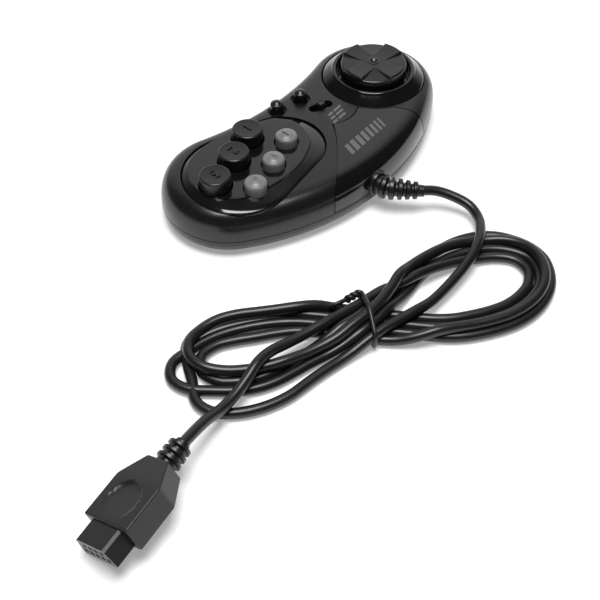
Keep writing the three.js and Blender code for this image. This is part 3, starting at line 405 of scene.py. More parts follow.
band_far_top = band_outline[np.argmax(band_outline[:, 1] - 0.8 * band_outline[:, 0])]
tie_vinyl = moulded_plastic("tie_black_plastic", "#1a1a1b", 0.38, 0.6, 0.006)
tie_band = swept_curve("tie_band", band_line, TIE_RADIUS, closed=True)
tie_band.data.materials.append(tie_vinyl)

# The twisted pair starts at the band's far top corner, lies along the hank and ends in the eye.
twist_way = np.array([0.957, -0.290, 0.0])
twist_start = WAIST + band_far_top[0] * ACROSS_WAIST + np.array([0, 0, band_far_top[1] + 0.3])
twist_side = np.array([0.290, 0.957, 0.0])
upward = np.array([0, 0, 1.0])
wind = np.linspace(0, 1, 60)[:, None]
for strand in (0, 1):
    phase = strand * np.pi + 2 * np.pi * TWIST_TURNS * wind
    helix = (twist_start + TWIST_LENGTH * wind * twist_way + TWIST_RADIUS * np.cos(phase) * twist_side
             + TWIST_RADIUS * np.sin(phase) * upward - TWIST_DROP * wind**2 * upward)
    if strand == 0:
        eye_turn = np.linspace(0, 1.8 * np.pi, 40)[:, None]
        eye_middle = helix[-1] + EYE_HALF_LENGTH * twist_way
        eye = (eye_middle - EYE_HALF_LENGTH * np.cos(eye_turn) * twist_way + EYE_HALF_WIDTH * np.sin(eye_turn) * (
            0.6 * twist_side + 0.8 * upward))
        helix = np.vstack([helix[:-2], eye])
    tie_end = swept_curve(f"tie_end_{strand + 1}", helix / 1000, TIE_RADIUS * 0.9)
    tie_end.data.materials.append(tie_vinyl)
    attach(tie_end, "case")
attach(tie_band, "case")
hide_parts("hank_tie")

# ---- The plug ---------------------------------------------------------------------
# A nine-way D plug: a hand-sized black shell with a sunk thumb patch and sloping
# shoulders, a chunky ribbed boot behind it, and a D-shaped nose with nine sockets.

PLUG_MIDDLE = np.array([163.9, 72.4, 9.3])
PLUG_ROLL, PLUG_PITCH, PLUG_YAW = math.radians(24), math.radians(7), math.radians(9.2)
PLUG_HALF_WIDTH = 10.2
PLUG_HALF_THICKNESS = 5.0
PLUG_FRONT = 8.15
PLUG_SHOULDER = -8.15
PLUG_REAR = -17.65
PLUG_NECK_HALF = 4.8


def laid_plug(points):
    """Points in the plug's own place, nose along +X, rolled, pitched and turned to where the plug lies, in metres."""
    x, y, z = np.moveaxis(points, -1, 0)
    y, z = y * math.cos(PLUG_ROLL) - z * math.sin(PLUG_ROLL), y * math.sin(PLUG_ROLL) + z * math.cos(PLUG_ROLL)
    x, z = x * math.cos(PLUG_PITCH) + z * math.sin(PLUG_PITCH), z * math.cos(PLUG_PITCH) - x * math.sin(PLUG_PITCH)
    x, y = x * math.cos(PLUG_YAW) - y * math.sin(PLUG_YAW), x * math.sin(PLUG_YAW) + y * math.cos(PLUG_YAW)
    return (np.stack([x, y, z], -1) + PLUG_MIDDLE) / 1000


def rounded_box(half_wide, half_high, radius, per_side=34, per_corner=6):
    """A rectangle with rounded corners, for arrays of half sizes: points spread evenly along its four sides and
    round its corners, as (side, height) arrays with one row for each half size."""
    straight = np.linspace(-1, 1, per_side)
    bend = np.linspace(0, np.pi / 2, per_corner + 2)[1:-1]
    wide, high = (np.asarray(half, float)[:, None] - radius for half in (half_wide, half_high))
    side, height = [], []
    for quarter in range(4):
        along, across = (wide, high) if quarter % 2 == 0 else (high, wide)
        u = np.hstack([along * -straight, -along - radius * np.sin(bend)])
        v = np.hstack([across + radius + 0 * along * straight, across + radius * np.cos(bend)])
        for _ in range(quarter):
            u, v = -v, u
        side.append(u)
        height.append(v)
    return np.hstack(side), np.hstack(height)


# Moulded in two halves with a dull sparked surface.
plug_abs = moulded_plastic("moulded_black_plug_plastic", "#19191a", 0.40, 0.35, 0.012, wear=0.06)
PLUG_EDGE = 0.55
edge_turn = np.linspace(0, np.pi / 2, 5)
shell_x = np.concatenate([
    PLUG_REAR + PLUG_EDGE * (1 - np.cos(edge_turn)), np.linspace(PLUG_REAR + 0.8, PLUG_SHOULDER - 0.3, 18),
    np.linspace(PLUG_SHOULDER, PLUG_FRONT - 0.7, 44), PLUG_FRONT - PLUG_EDGE * (1 - np.sin(edge_turn))])
eased = np.concatenate([PLUG_EDGE * (1 - np.sin(edge_turn)), np.zeros(62), PLUG_EDGE * (1 - np.cos(edge_turn))])
half_wide = np.interp(shell_x, [PLUG_REAR, PLUG_SHOULDER - 0.3, PLUG_SHOULDER + 0.3],
                      [PLUG_NECK_HALF, PLUG_HALF_WIDTH - 0.2, PLUG_HALF_WIDTH]) - eased
half_high = np.interp(shell_x, [PLUG_REAR, PLUG_SHOULDER - 1.5, PLUG_SHOULDER + 1],
                      [4.3, PLUG_HALF_THICKNESS - 0.1, PLUG_HALF_THICKNESS]) - eased
shell_y, shell_z = rounded_box(half_wide, half_high, 0.5)
shell_x = np.repeat(shell_x[:, None], shell_y.shape[1], 1)
# The thumb patch is an oval 12.6 mm wide, sunk 0.8 mm at its rear edge and running out level towards the nose.
inside_patch = np.clip((1.05 - np.hypot((shell_x + 0.3) / 7.2, shell_y / 6.3)) / 0.09, 0, 1)
sunk = 0.8 * inside_patch**2 * (3 - 2 * inside_patch) * np.clip((6.0 - shell_x) / 11, 0, 1)
shell_z = shell_z - np.sign(shell_z) * sunk * (np.abs(shell_z) > PLUG_HALF_THICKNESS - 0.15)
plug_shell = skin("plug_shell", laid_plug(np.stack([shell_x, shell_y, shell_z], -1)), plug_abs, 30)

boot_x = np.linspace(PLUG_REAR + 0.3, -27.5, 220)
boot_radius = np.interp(boot_x, [-27.5, -27.2, PLUG_REAR], [2.1, 2.6, 3.1])
for rib, rib_radius in enumerate((4.5, 4.35, 4.1)):
    boot_radius = np.maximum(boot_radius, boot_radius + (rib_radius - boot_radius)
                             * bump_up(boot_x, -19.95 - 2.7 * rib, 1.45, 0.5))
# Webs above, below and at both sides join the rings, and leave a window on each slant between them.
web = np.maximum(np.abs(np.cos(turn)), np.abs(np.sin(turn))) > 0.94
web_radius = np.interp(boot_x, [-26.0, -25.6, PLUG_REAR], [2.6, 3.5, 4.0])
boot_radius = np.where(web, np.maximum(boot_radius, web_radius)[:, None], boot_radius[:, None])
boot_rings = np.stack([np.repeat(boot_x[:, None], 48, 1), boot_radius * np.cos(turn), boot_radius * np.sin(turn)], -1)
plug_boot = skin("plug_boot", laid_plug(boot_rings), cord_vinyl, 50)
for piece, node_name, slot in ((plug_shell, "plug_body", "plug_plastic"), (plug_boot, "plug_relief", "cord_vinyl")):
    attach(piece, "case")
    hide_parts(node_name)

nose_plastic = moulded_plastic("moulded_black_nose_plastic", "#161617", 0.36, 0.3, 0.010)
socket_metal, socket_shader = new_material("gold_flashed_brass")
socket_shader.inputs["Base Color"].default_value = linear("#b8924a")
socket_shader.inputs["Metallic"].default_value = 1.0
socket_shader.inputs["Roughness"].default_value = 0.32


def repaint(node_name, material):
    """Gives a CAD part another finish."""
    nodes[node_name].data.materials.clear()
    nodes[node_name].data.materials.append(material)


repaint("plug_nose", nose_plastic)
contacts = [f"plug_contact_{number}" for number in range(1, 10)]
for contact in contacts:
    repaint(contact, socket_metal)

# ---- The case -----------------------------------------------------------------------
# Two shells of moulded black ABS, 2 mm thick, that meet in a thin dark line all round.
# Their outline is two round lobes, a bowed cord edge and a hollowed player's edge.

LOBE_X, LOBE_Y, LOBE_RADIUS = 42.0, -7.5, 27.0
CROWN_RISE, WAIST_DEPTH = 13.0, 6.0
PARTING, TOP = 7.5, 19.5
SHOULDER, SHOULDER_POWER = 9.0, 2.6
WALL = 2.0
crown_y = ((LOBE_Y + CROWN_RISE) ** 2 - LOBE_X**2 - LOBE_Y**2) / (2 * CROWN_RISE)
crown_radius = LOBE_Y + LOBE_RADIUS + CROWN_RISE - crown_y
waist_radius = (LOBE_X**2 + (LOBE_RADIUS - WAIST_DEPTH) ** 2 - LOBE_RADIUS**2) / (2 * WAIST_DEPTH)
waist_y = LOBE_Y - LOBE_RADIUS + WAIST_DEPTH - waist_radius


def arc(x, y, radius, start, stop, count):
    """count points on an arc, from its start up to, but not on, its stop."""
    turns = start + (stop - start) * np.arange(count) / count
    return np.stack([x + radius * np.cos(turns), y + radius * np.sin(turns)], 1)


def case_outline(inset, lobe_steps=60, crown_steps=40, waist_steps=26):
    """The case's outline, drawn in by an inset: four arcs that stay tangent because they keep their centres."""
    crown = math.atan2(LOBE_Y - crown_y, LOBE_X)
    waist = math.atan2(waist_y - LOBE_Y, -LOBE_X)
    return np.vstack([
        arc(LOBE_X, LOBE_Y, LOBE_RADIUS - inset, waist, crown, lobe_steps),
        arc(0, crown_y, crown_radius - inset, crown, math.pi - crown, crown_steps),
        arc(-LOBE_X, LOBE_Y, LOBE_RADIUS - inset, math.pi - crown, math.pi - waist, lobe_steps),
        arc(0, waist_y, waist_radius + inset, -waist, math.pi + waist, waist_steps)])


def case_rings(levels):
    """One ring of the case's outline for each (inset, height) level, in metres."""
    return np.stack([
        np.hstack([ring, np.full((len(ring), 1), height)])
        for ring, height in ((case_outline(inset), height) for inset, height in levels)]) / 1000


def shoulder_levels(depth, lowest, steps=18):
    """(inset, height) of the top's outer face, or a face a depth below it: a superellipse from the wall to the top,
    and a very low crown over the middle."""
    angle = np.linspace(0, np.pi / 2, steps + 1)[1:]
    rise = np.sin(angle) ** (2 / SHOULDER_POWER)
    run = 1 - np.maximum(np.cos(angle), 0) ** (2 / SHOULDER_POWER)
    levels = [(depth, lowest)]
    levels += [(depth + SHOULDER * a, PARTING + (TOP - depth - PARTING) * b) for a, b in zip(run, rise)
               if PARTING + (TOP - depth - PARTING) * b > lowest + 0.2]
    levels += [(depth + SHOULDER + extra, TOP - depth + 0.012 * extra) for extra in (2, 5, 8, 11, 14, 16)]
    return levels


def height_of_top(x, y):
    """The height of the top's outer face over places in plan, in millimetres: the distance in from the outline is
    measured from whichever arc each place faces, and put through the shoulder's superellipse."""
    lobe = LOBE_RADIUS - np.hypot(np.abs(x) - LOBE_X, y - LOBE_Y)
    crown = crown_radius - np.hypot(x, y - crown_y)
    waist = np.hypot(x, y - waist_y) - waist_radius
    in_crown = np.abs(np.arctan2(x, y - crown_y)) < math.atan2(LOBE_X, LOBE_Y - crown_y)
    in_waist = np.abs(np.arctan2(x, y - waist_y)) < math.atan2(LOBE_X, LOBE_Y - waist_y)
    middle = np.minimum(np.where(in_crown, crown, 99), np.where(in_waist, waist, 99))
    inset = np.where(middle < 90, middle, lobe)
    rise = (1 - (1 - inset.clip(0, SHOULDER) / SHOULDER) ** SHOULDER_POWER).clip(0, 1) ** (1 / SHOULDER_POWER)
    return PARTING + (TOP - PARTING) * rise + 0.012 * (inset - SHOULDER).clip(0, 16)


def applied(piece, crease=35):
    """Makes a piece's modifiers part of its mesh."""
    graph = bpy.context.evaluated_depsgraph_get()
    mesh = bpy.data.meshes.new_from_object(piece.evaluated_get(graph))
    piece.modifiers.clear()
    piece.data = mesh
    mesh.shade_smooth()
    mesh.set_sharp_from_angle(angle=math.radians(crease))
    return piece


def carve(piece, tool, operation="DIFFERENCE", crease=35):
    """Cuts a tool shape out of a piece, or keeps what they share, and throws the tool away."""
    step = piece.modifiers.new("carve", "BOOLEAN")
    step.operation = operation
    step.object = tool
    step.solver = "EXACT"
    applied(piece, crease)
    bpy.data.objects.remove(tool)
    return piece


def prism(name, outline, low, high, material):
    """An upright prism on an outline in millimetres."""
    rings = np.stack([np.hstack([outline, np.full((len(outline), 1), z)]) for z in (low, high)]) / 1000
    return skin(name, rings, material)


def lathe(name, middle, profile, material, steps=96, crease=35):
    """A turned piece: a profile of (radius, height) pairs in millimetres, carried round an upright axis. The pairs run
    from the axis out and back to it, or round a closed section if closed by repeating the first pair."""
    profile = np.asarray(profile, float)
    around = np.linspace(0, 2 * np.pi, steps, endpoint=False)
    radius, height = profile[:, 0], profile[:, 1]
    rings = np.stack([
        middle[0] + radius[:, None] * np.cos(around), middle[1] + radius[:, None] * np.sin(around),
        np.repeat(height[:, None], steps, 1)], -1) / 1000
    if np.allclose(profile[0], profile[-1]):
        at = np.arange((len(profile) - 1) * steps).reshape(len(profile) - 1, steps)
        down = np.roll(at, -1, axis=0)
        faces = np.stack([at, np.roll(at, -1, 1), np.roll(down, -1, 1), down], -1).reshape(-1, 4)
        area = np.sum(radius[:-1] * height[1:] - radius[1:] * height[:-1])
        faces = faces if area > 0 else faces[:, ::-1]
        return shaped(name, rings[:-1].reshape(-1, 3), [tuple(f) for f in faces.tolist()], material, crease)
    return skin(name, rings, material, crease)


def rounded(corners, radius, steps=6):
    """A profile whose corners are eased: each inner corner is replaced by a short parabola that starts and ends a
    radius away from it, or less where its two sides are short."""
    corners = np.asarray(corners, float)
    radius = np.broadcast_to(radius, len(corners))
    line = [corners[0]]
    for index in range(1, len(corners) - 1):
        before, here, after = corners[index - 1:index + 2]
        reach = min(radius[index], np.linalg.norm(before - here) / 2, np.linalg.norm(after - here) / 2)
        start = here + (before - here) / max(np.linalg.norm(before - here), 1e-9) * reach
        stop = here + (after - here) / max(np.linalg.norm(after - here), 1e-9) * reach
        for t in np.linspace(0, 1, steps):
            line.append((1 - t) ** 2 * start + 2 * t * (1 - t) * here + t**2 * stop)
    line.append(corners[-1])
    return np.array(line)


# Satin ABS from a lightly sparked mould, with faint rubs scattered over it that change its gloss a little.
satin_abs = moulded_plastic("satin_black_abs", "#141415", 0.25, 0.45, 0.003, wear=0.06)
# The same ABS from a polished mould: clear reflections, with fine hairline rubs in the gloss.
polished_abs = moulded_plastic("polished_black_abs", "#0e0e0f", 0.10, 0.0, 0.0, wear=0.06, coat=0.25)

DPAD_MIDDLE = (-42.0, -6.5)
DPAD_BEZEL_RADIUS = 21.5
BEZEL_CIRCLES = ((17.0, -3.5, 17.5), (40.0, -4.0, 22.3))
PEG_PLACES = ((-9.6, -18.2), (2.2, -20.2))
SWITCH_MIDDLE = (-11.6, -8.6)
SWITCH_TURN = math.radians(164)


def bezel_outline(margin, steps=150):
    """The outline round two circles, as a string pulled tight round them, grown by a margin."""
    (x1, y1, r1), (x2, y2, r2) = BEZEL_CIRCLES
    r1, r2 = r1 + margin, r2 + margin
    heading = math.atan2(y2 - y1, x2 - x1)
    lean = math.asin((r2 - r1) / math.hypot(x2 - x1, y2 - y1))
    upper, lower = heading + math.pi / 2 + lean, heading - math.pi / 2 - lean
    return np.vstack([arc(x2, y2, r2, lower, upper, steps * 3 // 5), arc(x1, y1, r1, upper, lower + 2 * math.pi,
                                                                         steps * 2 // 5)])


def bow(start, pull, end, steps=14):
    """Points on a curve from start to end that is drawn towards a pull point, without its end."""
    t = np.linspace(0, 1, steps, endpoint=False)[:, None]
    start, pull, end = (np.array(p, float) for p in (start, pull, end))
    return (1 - t) ** 2 * start + 2 * t * (1 - t) * pull + t**2 * end


def inlay_outline(margin):
    """The inlay's outline in plan, grown by a margin: an arc round the direction pad's bezel, a scalloped inner
    end with a sharp corner, and a side that slants away past the buttons to the cord edge."""
    radius = DPAD_BEZEL_RADIUS + 0.9 - margin
    start, finish = math.radians(25 - 3 * margin), math.radians(62)
    tip = (-6.6 + margin, 2.8 - margin)
    first = (DPAD_MIDDLE[0] + radius * math.cos(start), DPAD_MIDDLE[1] + radius * math.sin(start))
    return np.vstack([
        bow(tip, (1 + margin, 13.5), (22 + margin, 29.5)), [(22 + margin, 29.5), (30 + margin, 40.5)],
        [(-44 - margin, 40.5), (-37.5 - margin, 25.0)],
        arc(*DPAD_MIDDLE, radius, finish, start, 24), bow(first, (-14, 7.5 - margin), tip)])


def stadium(middle, turned_by, length, width, steps=16):
    """A slot's outline: two half circles on a straight length."""
    ends = [arc(length / 2, 0, width / 2, -math.pi / 2, math.pi / 2, steps),
            arc(-length / 2, 0, width / 2, math.pi / 2, 3 * math.pi / 2, steps)]
    points = np.vstack(ends)
    cos, sin = math.cos(turned_by), math.sin(turned_by)
    return points @ np.array([[cos, sin], [-sin, cos]]) + middle


def top_skin(name, depth, lowest, material):
    """The solid under the top's outer face, or under a face a depth below it."""
    return skin(name, case_rings(shoulder_levels(depth, lowest)), material)


case_top = skin("case_top", case_rings(
    shoulder_levels(WALL, PARTING + 0.3)[::-1] + shoulder_levels(0, PARTING + 0.25)), satin_abs)
carve(case_top, prism("tool", arc(*DPAD_MIDDLE, DPAD_BEZEL_RADIUS + 0.3, 0, 2 * math.pi, 160), 10, 40, satin_abs))
carve(case_top, prism("tool", bezel_outline(0.3), 10, 40, satin_abs))
panel_room = prism("tool", inlay_outline(0.32), PARTING + 0.6, 60, satin_abs)
carve(panel_room, top_skin("core", 1.6, PARTING, satin_abs))
carve(case_top, panel_room)
carve(case_top, prism("tool", stadium(SWITCH_MIDDLE, SWITCH_TURN, 6.4, 4.4), 12, 40, satin_abs))
for place in PEG_PLACES:
    carve(case_top, lathe("tool", place, rounded(
        [(0, 12), (3.0, 12), (3.0, 18.2), (3.7, 18.5), (4.0, 19.4), (4.6, 20.2), (0, 20.2)], 0.3), satin_abs, 48))
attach(case_top, "case")
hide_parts("top_shell")

base_curve = np.linspace(0, np.pi / 2, 14)
base_levels = [(7 * (1 - math.sin(a)), 6.2 * (1 - math.cos(a))) for a in base_curve] + [(0, PARTING - 0.05)]
base_inner = [(inset + WALL, max(height, WALL)) for inset, height in base_levels[::-1]]
floor_levels = [(26, 0.0), (20, 0.0), (12, 0.0)] + base_levels + base_inner + [(26, WALL)]
case_base = skin("case_base", case_rings(floor_levels), satin_abs)
screw_places = [(-58.5, 4.5), (58.5, 4.5), (-25.0, -20.5), (12.5, -23.0), (-13.0, 22.5), (17.0, 21.5)]
for place in screw_places:
    carve(case_base, lathe("tool", place, [(0, -1), (3.1, -1), (3.1, -0.05), (2.7, 0.4), (2.7, 4.2), (0, 4.2)],
                           satin_abs, 40))
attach(case_base, "case")
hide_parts("bottom_shell")

collar_turn = np.linspace(0, 2 * np.pi, 64, endpoint=False)
collar_section = rounded([(4.1, 29.5), (5.3, 29.5), (5.2, 32.4), (5.0, 33.4), (4.1, 33.4), (4.1, 29.5)], 0.5)
collar_rings = np.stack([
    collar_section[:, 0][:, None] * np.cos(collar_turn), np.repeat(collar_section[:, 1][:, None], 64, 1),
    10.5 + collar_section[:, 0][:, None] * np.sin(collar_turn)], -1) / 1000
collar = skin("cord_collar", collar_rings, satin_abs)
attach(collar, "case")

# ---- Front inlay ------------------------------------------------------------------
# A polished black inlay, 1.2 mm thick, set flush into the top and down over the cord
# edge. A plain grey bar pattern is printed across it in silver-grey ink.

front_inlay = top_skin("front_inlay", 0.03, PARTING + 0.9, polished_abs)
carve(front_inlay, top_skin("core", 1.2, PARTING, polished_abs))
carve(front_inlay, prism("tool", inlay_outline(-0.12), PARTING, 60, polished_abs), "INTERSECT", 30)
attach(front_inlay, "case")
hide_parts("front_panel")

printed_ink = moulded_plastic("printed_grey_ink", "#5d5d60", 0.45, 0.3, 0.004, wear=0.08)
PRINT_CORNER = np.array([-22.0, 13.2])
PRINT_ALONG = np.array([22.6, 1.9])
PRINT_UP = np.array([1.7, 5.7])


def printed_patch(name, corner, along, up, lift=0.05):
    """A patch of ink on the top's outer face: a grid over a slanting four-sided place in plan, lifted onto it."""
    u, v = np.meshgrid(np.linspace(0, 1, 14), np.linspace(0, 1, 8), indexing="ij")
    x = corner[0] + u * along[0] + v * up[0]
    y = corner[1] + u * along[1] + v * up[1]
    grid = np.stack([x, y, height_of_top(x, y) + lift], -1) / 1000
    under = grid - [0, 0, 0.00008]
    places = np.vstack([grid.reshape(-1, 3), under.reshape(-1, 3)])
    at = np.arange(14 * 8).reshape(14, 8)
    quads = np.stack([at[:-1, :-1], at[1:, :-1], at[1:, 1:], at[:-1, 1:]], -1).reshape(-1, 4)
    if np.cross(along, up) < 0:
        quads = quads[:, ::-1]
    rim = np.concatenate([at[:, 0], at[-1, 1:], at[-2::-1, -1], at[0, -2:0:-1]])
    skirt = np.stack([rim, rim + 112, np.roll(rim, -1) + 112, np.roll(rim, -1)], -1)
    if np.cross(along, up) < 0:
        skirt = skirt[:, ::-1]
    faces = np.vstack([quads, (quads + 112)[:, ::-1], skirt])
    return shaped(name, places, [tuple(f) for f in faces.tolist()], printed_ink, 30)


PRINT_BARS = [
    (0.00, 0.05, 0.0, 1.0), (0.10, 0.16, 0.0, 1.0), (0.21, 0.28, 0.0, 1.0), (0.33, 0.41, 0.0, 1.0),
    (0.46, 0.55, 0.0, 1.0), (0.60, 0.70, 0.0, 1.0), (0.75, 0.86, 0.0, 1.0), (0.91, 1.00, 0.0, 1.0)]
for number, (start, stop, low, high) in enumerate(PRINT_BARS, 1):
    bar = printed_patch(f"print_bar_{number}", PRINT_CORNER + start * PRINT_ALONG + low * PRINT_UP,
                        (stop - start) * PRINT_ALONG, (high - low) * PRINT_UP)
    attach(bar, "case")

# ---- Bezels -------------------------------------------------------------------------
# Two polished black bezels: a sloping dish with a raised rim round the direction pad,
# and a broad plate with a bevelled edge and a low step round the six buttons.

dpad_bezel = lathe("dpad_surround", DPAD_MIDDLE, rounded([
    (12.6, 16.6), (21.3, 16.6), (21.3, 19.2), (21.0, 19.65), (18.9, 21.6), (17.6, 22.7), (17.2, 23.3),
    (16.2, 23.4), (15.6, 23.0), (15.5, 17.8), (12.6, 17.8), (12.6, 16.6)],
    [0.1, 0.1, 0.1, 0.4, 1.6, 0.5, 0.4, 0.4, 0.4, 0.3, 0.1, 0.1]), polished_abs, 144, 50)
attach(dpad_bezel, "case")
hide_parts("dpad_bezel")

LARGE_PLACES = [(24.6, -14.6), (37.9, -8.8), (52.2, -4.3)]
SMALL_PLACES = [(x - 9.2, y + 12.3) for x, y in LARGE_PLACES]
platform_points = np.array([
    (4.4, -9.8), (4.6, -3.4), (9.0, 4.4), (15.0, 8.0), (20.7, 10.2), (28.4, 11.4), (37.0, 11.2), (47.0, 9.6),
    (54.4, 4.4), (58.2, -5.3), (56.6, -13.6), (49.6, -21.8), (38.2, -24.0), (26.0, -22.6), (15.0, -19.2),
    (7.6, -15.4)])


BEZEL_AIM = (29.0, -4.5)
seam_ring = bezel_outline(0)


def at_angles(outline, angles):
    """Where rays from the bezel's middle, at the given angles, cross a closed outline, by angle."""
    found = np.arctan2(outline[:, 1] - BEZEL_AIM[1], outline[:, 0] - BEZEL_AIM[0])
    order = np.argsort(found)
    found, outline = found[order], outline[order]
    found = np.concatenate([found - 2 * np.pi, found, found + 2 * np.pi])
    outline = np.vstack([outline] * 3)
    return np.stack([np.interp(angles, found, outline[:, axis]) for axis in (0, 1)], 1)


bezel_angles = np.linspace(-np.pi, np.pi, 180, endpoint=False)
platform_loop = smooth_line(np.hstack([
    np.vstack([platform_points[-3:], platform_points, platform_points[:3]]), np.zeros((22, 1))]))[36:-36, :2]
seam = at_angles(seam_ring, bezel_angles)
platform = at_angles(platform_loop, bezel_angles)
middle_place = np.array(BEZEL_AIM)
# (share of the way from the seam to the platform, height), then the platform drawn in towards its middle
bezel_steps = [(0.0, 16.6), (0.0, 18.7), (0.02, 18.95), (0.06, 19.12), (0.3, 19.5), (0.6, 19.95), (0.9, 20.38),
               (0.955, 20.46), (0.97, 20.62), (0.985, 20.86), (1.0, 20.98)]
bezel_rings = [np.hstack([seam + share * (platform - seam), np.full((180, 1), height)])
               for share, height in bezel_steps]
bezel_rings += [np.hstack([platform + pull * (middle_place - platform), np.full((180, 1), height)])
                for pull, height in ((0.02, 21.02), (0.05, 21.03), (0.3, 21.05), (0.6, 21.06), (0.9, 21.06))]
button_bezel = skin("button_surround", np.stack(bezel_rings) / 1000, polished_abs, 40)
for place in LARGE_PLACES:
    carve(button_bezel, lathe("tool", place, rounded(
        [(0, 10), (6.45, 10), (6.45, 20.6), (6.95, 21.4), (0, 21.4)], 0.4), polished_abs, 72))
for place in SMALL_PLACES:
    carve(button_bezel, lathe("tool", place, rounded(
        [(0, 10), (4.75, 10), (4.75, 20.6), (5.25, 21.4), (0, 21.4)], 0.4), polished_abs, 60))
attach(button_bezel, "case")
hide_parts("button_bezel")

# ---- Direction pad -------------------------------------------------------------------
# A round black pad moulded in one piece. Its four flared arms stand above four sunk
# wedges, and a shallow dimple marks its middle. It rocks on a pivot under it.

DPAD_RADIUS = 13.7
DPAD_TOP = 27.0
button_abs = moulded_plastic("smooth_black_abs", "#141415", 0.24, 0.5, 0.002, wear=0.06)


def dpad_height(x, y):
    """The pad's height: arms that widen and rise a little towards the rim, wedges between them whose floors slope
    down outwards, and a small ringed dimple."""
    reach = np.hypot(x, y)
    across = np.minimum(np.abs(x), np.abs(y))
    wall = (across - (2.5 + 0.13 * reach)) / 0.45
    slope = 0.13 * (reach - 4.4)
    down = np.clip(np.minimum(wall, slope), 0, None)
    ring = 0.18 * np.exp(-(((reach - 1.9) / 0.4) ** 2))
    dimple = 0.6 * np.clip(1 - (reach / 1.5) ** 2, 0, 1)
    scoop = 0.45 * np.clip((reach - 3) / 10, 0, 1) ** 2
    return DPAD_TOP - 0.15 + scoop - down + ring - dimple


pad_turn = np.linspace(0, 2 * np.pi, 288, endpoint=False)
pad_reach = np.concatenate([np.linspace(0.15, DPAD_RADIUS - 0.9, 44), DPAD_RADIUS - 0.9 + 0.9 * np.sin(
    np.linspace(0.15, np.pi / 2, 8))])
pad_rings = []
for reach in pad_reach[::-1]:
    x, y = reach * np.cos(pad_turn), reach * np.sin(pad_turn)
    inner = min(reach, DPAD_RADIUS - 0.9)
    z = dpad_height(inner * np.cos(pad_turn), inner * np.sin(pad_turn))
    over = max(0, reach - (DPAD_RADIUS - 0.9))
    z = z - (0.9 - math.sqrt(max(0, 0.81 - over**2)))
    pad_rings.append(np.stack([x, y, z], -1))
skirt = [np.stack([radius * np.cos(pad_turn), radius * np.sin(pad_turn), np.full(288, height)], -1)
         for radius, height in ((0.5, 20.0), (13.0, 20.0), (13.6, 20.4), (DPAD_RADIUS, 21.2), (DPAD_RADIUS, 23.4))]
pad_rings = (np.stack(skirt + pad_rings) + [*DPAD_MIDDLE, 0]) / 1000
pad = skin("direction_pad", pad_rings, button_abs, 60)
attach(pad, "dpad")
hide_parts("dpad")

# ---- Face buttons ----------------------------------------------------------------------
# Three large black buttons with dished tops, and three small grey ones with domed tops.
# A plain numeral is sunk into each. They are moulded singly, and rest on rubber domes.

grey_abs = moulded_plastic("smooth_grey_abs", "#757472", 0.30, 0.5, 0.004, wear=0.06)


def numeral_tool(text, middle, size, low, high):
    """A numeral as an upright solid, its middle over a place, for sinking into a button."""
    data = bpy.data.curves.new("numeral", "FONT")
    data.body = text
    data.align_x = "CENTER"
    data.align_y = "CENTER"
    data.size = size / 1000
    data.offset = 0.00008
    data.extrude = (high - low) / 2000
    data.resolution_u = 3
    solid = bpy.data.objects.new("numeral", data)
    scene.collection.objects.link(solid)
    bpy.context.view_layer.update()
    mesh = bpy.data.meshes.new_from_object(solid.evaluated_get(bpy.context.evaluated_depsgraph_get()))
    bpy.data.objects.remove(solid)
    work = bmesh.new()
    work.from_mesh(mesh)
    bmesh.ops.remove_doubles(work, verts=work.verts, dist=1e-6)
    bmesh.ops.recalc_face_normals(work, faces=work.faces)
    work.to_mesh(mesh)
    work.free()
    places = np.zeros(len(mesh.vertices) * 3)
    mesh.vertices.foreach_get("co", places)
    places = places.reshape(-1, 3)
    places += np.array([middle[0], middle[1], (low + high) / 2]) / 1000 - np.array([
        (places[:, 0].min() + places[:, 0].max()) / 2, (places[:, 1].min() + places[:, 1].max()) / 2, 0])
    mesh.vertices.foreach_set("co", places.ravel())
    tool = bpy.data.objects.new("numeral_tool", mesh)
    scene.collection.objects.link(tool)
    return tool


def button_profile(radius, top, dish, edge):
    """(radius, height) pairs of a button: a flange, a straight side, a rounded edge, and a top that is dished, or
    domed where dish is negative."""
    rim = radius - edge
    side = [(0.3, 14.9), (radius + 0.7, 14.9), (radius + 0.7, 15.9), (radius, 15.9)]
    fillet = [(rim + edge * math.cos(a), top - edge + edge * math.sin(a)) for a in np.linspace(0, math.pi / 2, 9)]
    face = [(rim * (1 - t), top - dish * (1 - (1 - t) ** 2)) for t in np.linspace(0.06, 0.985, 14)]
    return side + fillet + face


for number, place in enumerate(LARGE_PLACES, 1):
    name = f"large_button_{number}"
    cap = lathe(f"large_cap_{number}", place, button_profile(6.1, 26.4, 0.22, 0.7), button_abs, 72, 50)
    carve(cap, numeral_tool(str(number), place, 6.4, 25.75, 27.0), crease=40)
    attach(cap, name)
    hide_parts(name)
for number, place in enumerate(SMALL_PLACES, 1):
    name = f"small_button_{number}"
    cap = lathe(f"small_cap_{number}", place, button_profile(4.4, 24.8, -0.8, 1.3), grey_abs, 60, 50)
    carve(cap, numeral_tool(str(number + 3), place, 4.6, 25.15, 26.2), crease=40)
    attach(cap, name)
    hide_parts(name)

# ---- Mode and start buttons, and the slide switch -----------------------------------------
# Two small domed pegs in round wells, and a round knob that slides in a dark slot. Three
# short bars of ink beside the slot mark its three places.

for name, cap_name, place in (("mode_button", "mode_cap", PEG_PLACES[0]), ("start_button", "start_cap",
                                                                          PEG_PLACES[1])):
    cap = lathe(cap_name, place, button_profile(2.7, 23.1, -0.85, 0.8), button_abs, 48, 50)
    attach(cap, name)
    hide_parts(name)

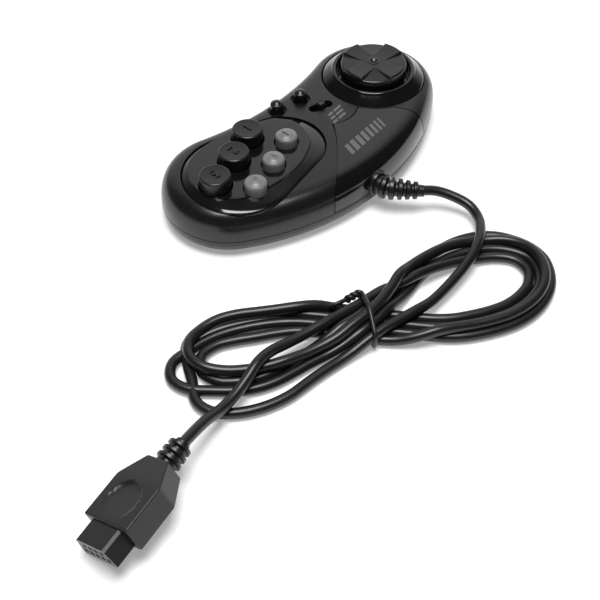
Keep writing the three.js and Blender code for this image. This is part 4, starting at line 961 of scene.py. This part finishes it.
knob = lathe("switch_cap", SWITCH_MIDDLE, rounded([
    (0.2, 16.6), (1.9, 16.6), (1.9, 21.2), (1.45, 21.9), (0.9, 21.7), (0.2, 21.65)], 0.4), button_abs, 40, 50)
slider = prism("switch_slider", stadium(SWITCH_MIDDLE, SWITCH_TURN, 8.6, 5.2), 15.5, 16.5, button_abs)
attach(slider, "switch_knob")
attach(knob, "switch_knob")
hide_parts("switch_knob")

for row in range(3):
    for column, (start, length) in enumerate(((0.0, 4.6), (5.4, 2.8)), 1):
        corner = np.array([-17.6 + 1.1 * row + start, -3.6 + 2.3 * row + 0.1 * start])
        mark = printed_patch(f"switch_mark_{row + 1}_{column}", corner, np.array([length, 0.1 * length]),
                             np.array([0.35, 1.25]))
        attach(mark, "case")

# ---- Inside the case ------------------------------------------------------------------------
# A green board with its chips, silicone rubber mats with a dome under each button, a slide
# switch in a steel can, and zinc-plated screws. They show only through gaps and underneath.

silicone = moulded_plastic("grey_silicone_rubber", "#a9a8a0", 0.55, 0.6, 0.01)
silicone.node_tree.nodes["Principled BSDF"].inputs["Subsurface Weight"].default_value = 0.15
silicone.node_tree.nodes["Principled BSDF"].inputs["Subsurface Radius"].default_value = (0.001, 0.001, 0.001)
solder_mask = moulded_plastic("green_solder_mask", "#1d5636", 0.30, 0.3, 0.01)
chip_resin = moulded_plastic("black_chip_resin", "#18181a", 0.55, 0.2, 0.012)
header_nylon = moulded_plastic("natural_nylon", "#d8d3c2", 0.5, 0.4, 0.008)
inner_abs = moulded_plastic("plain_black_abs", "#1a1a1b", 0.45, 0.5, 0.01)


def plated_steel(name, colour, roughness):
    """Zinc-plated steel: bright, with a fine crystalline bloom that changes its gloss in small patches."""
    material, shader = new_material(name)
    place = add(material, "ShaderNodeTexCoord").outputs["Object"]
    bloom = add(material, "ShaderNodeTexVoronoi", {"Scale": 1000 / 0.5}, [(place, "Vector")])
    gloss = add(material, "ShaderNodeMapRange", {"To Min": roughness - 0.08, "To Max": roughness + 0.12},
                [(bloom.outputs["Distance"], "Value")])
    material.node_tree.links.new(gloss.outputs["Result"], shader.inputs["Roughness"])
    shader.inputs["Base Color"].default_value = linear(colour)
    shader.inputs["Metallic"].default_value = 1.0
    return material


zinc = plated_steel("zinc_plated_steel", "#b9bcc0", 0.35)
for node_name in ("dpad_mat", "button_mat", "start_mode_mat"):
    repaint(node_name, silicone)
for node_name in ("controller_chip", "timer_chip", "smoothing_capacitor", "pull_up_network"):
    repaint(node_name, chip_resin)
for node_name in ["switch_body"] + [f"case_screw_{n}" for n in range(1, 7)] + ["board_screw_1", "board_screw_2"]:
    repaint(node_name, zinc)
repaint("main_board", solder_mask)
repaint("cord_header", header_nylon)
repaint("inner_leads", cord_vinyl)
repaint("dpad_rocker", inner_abs)
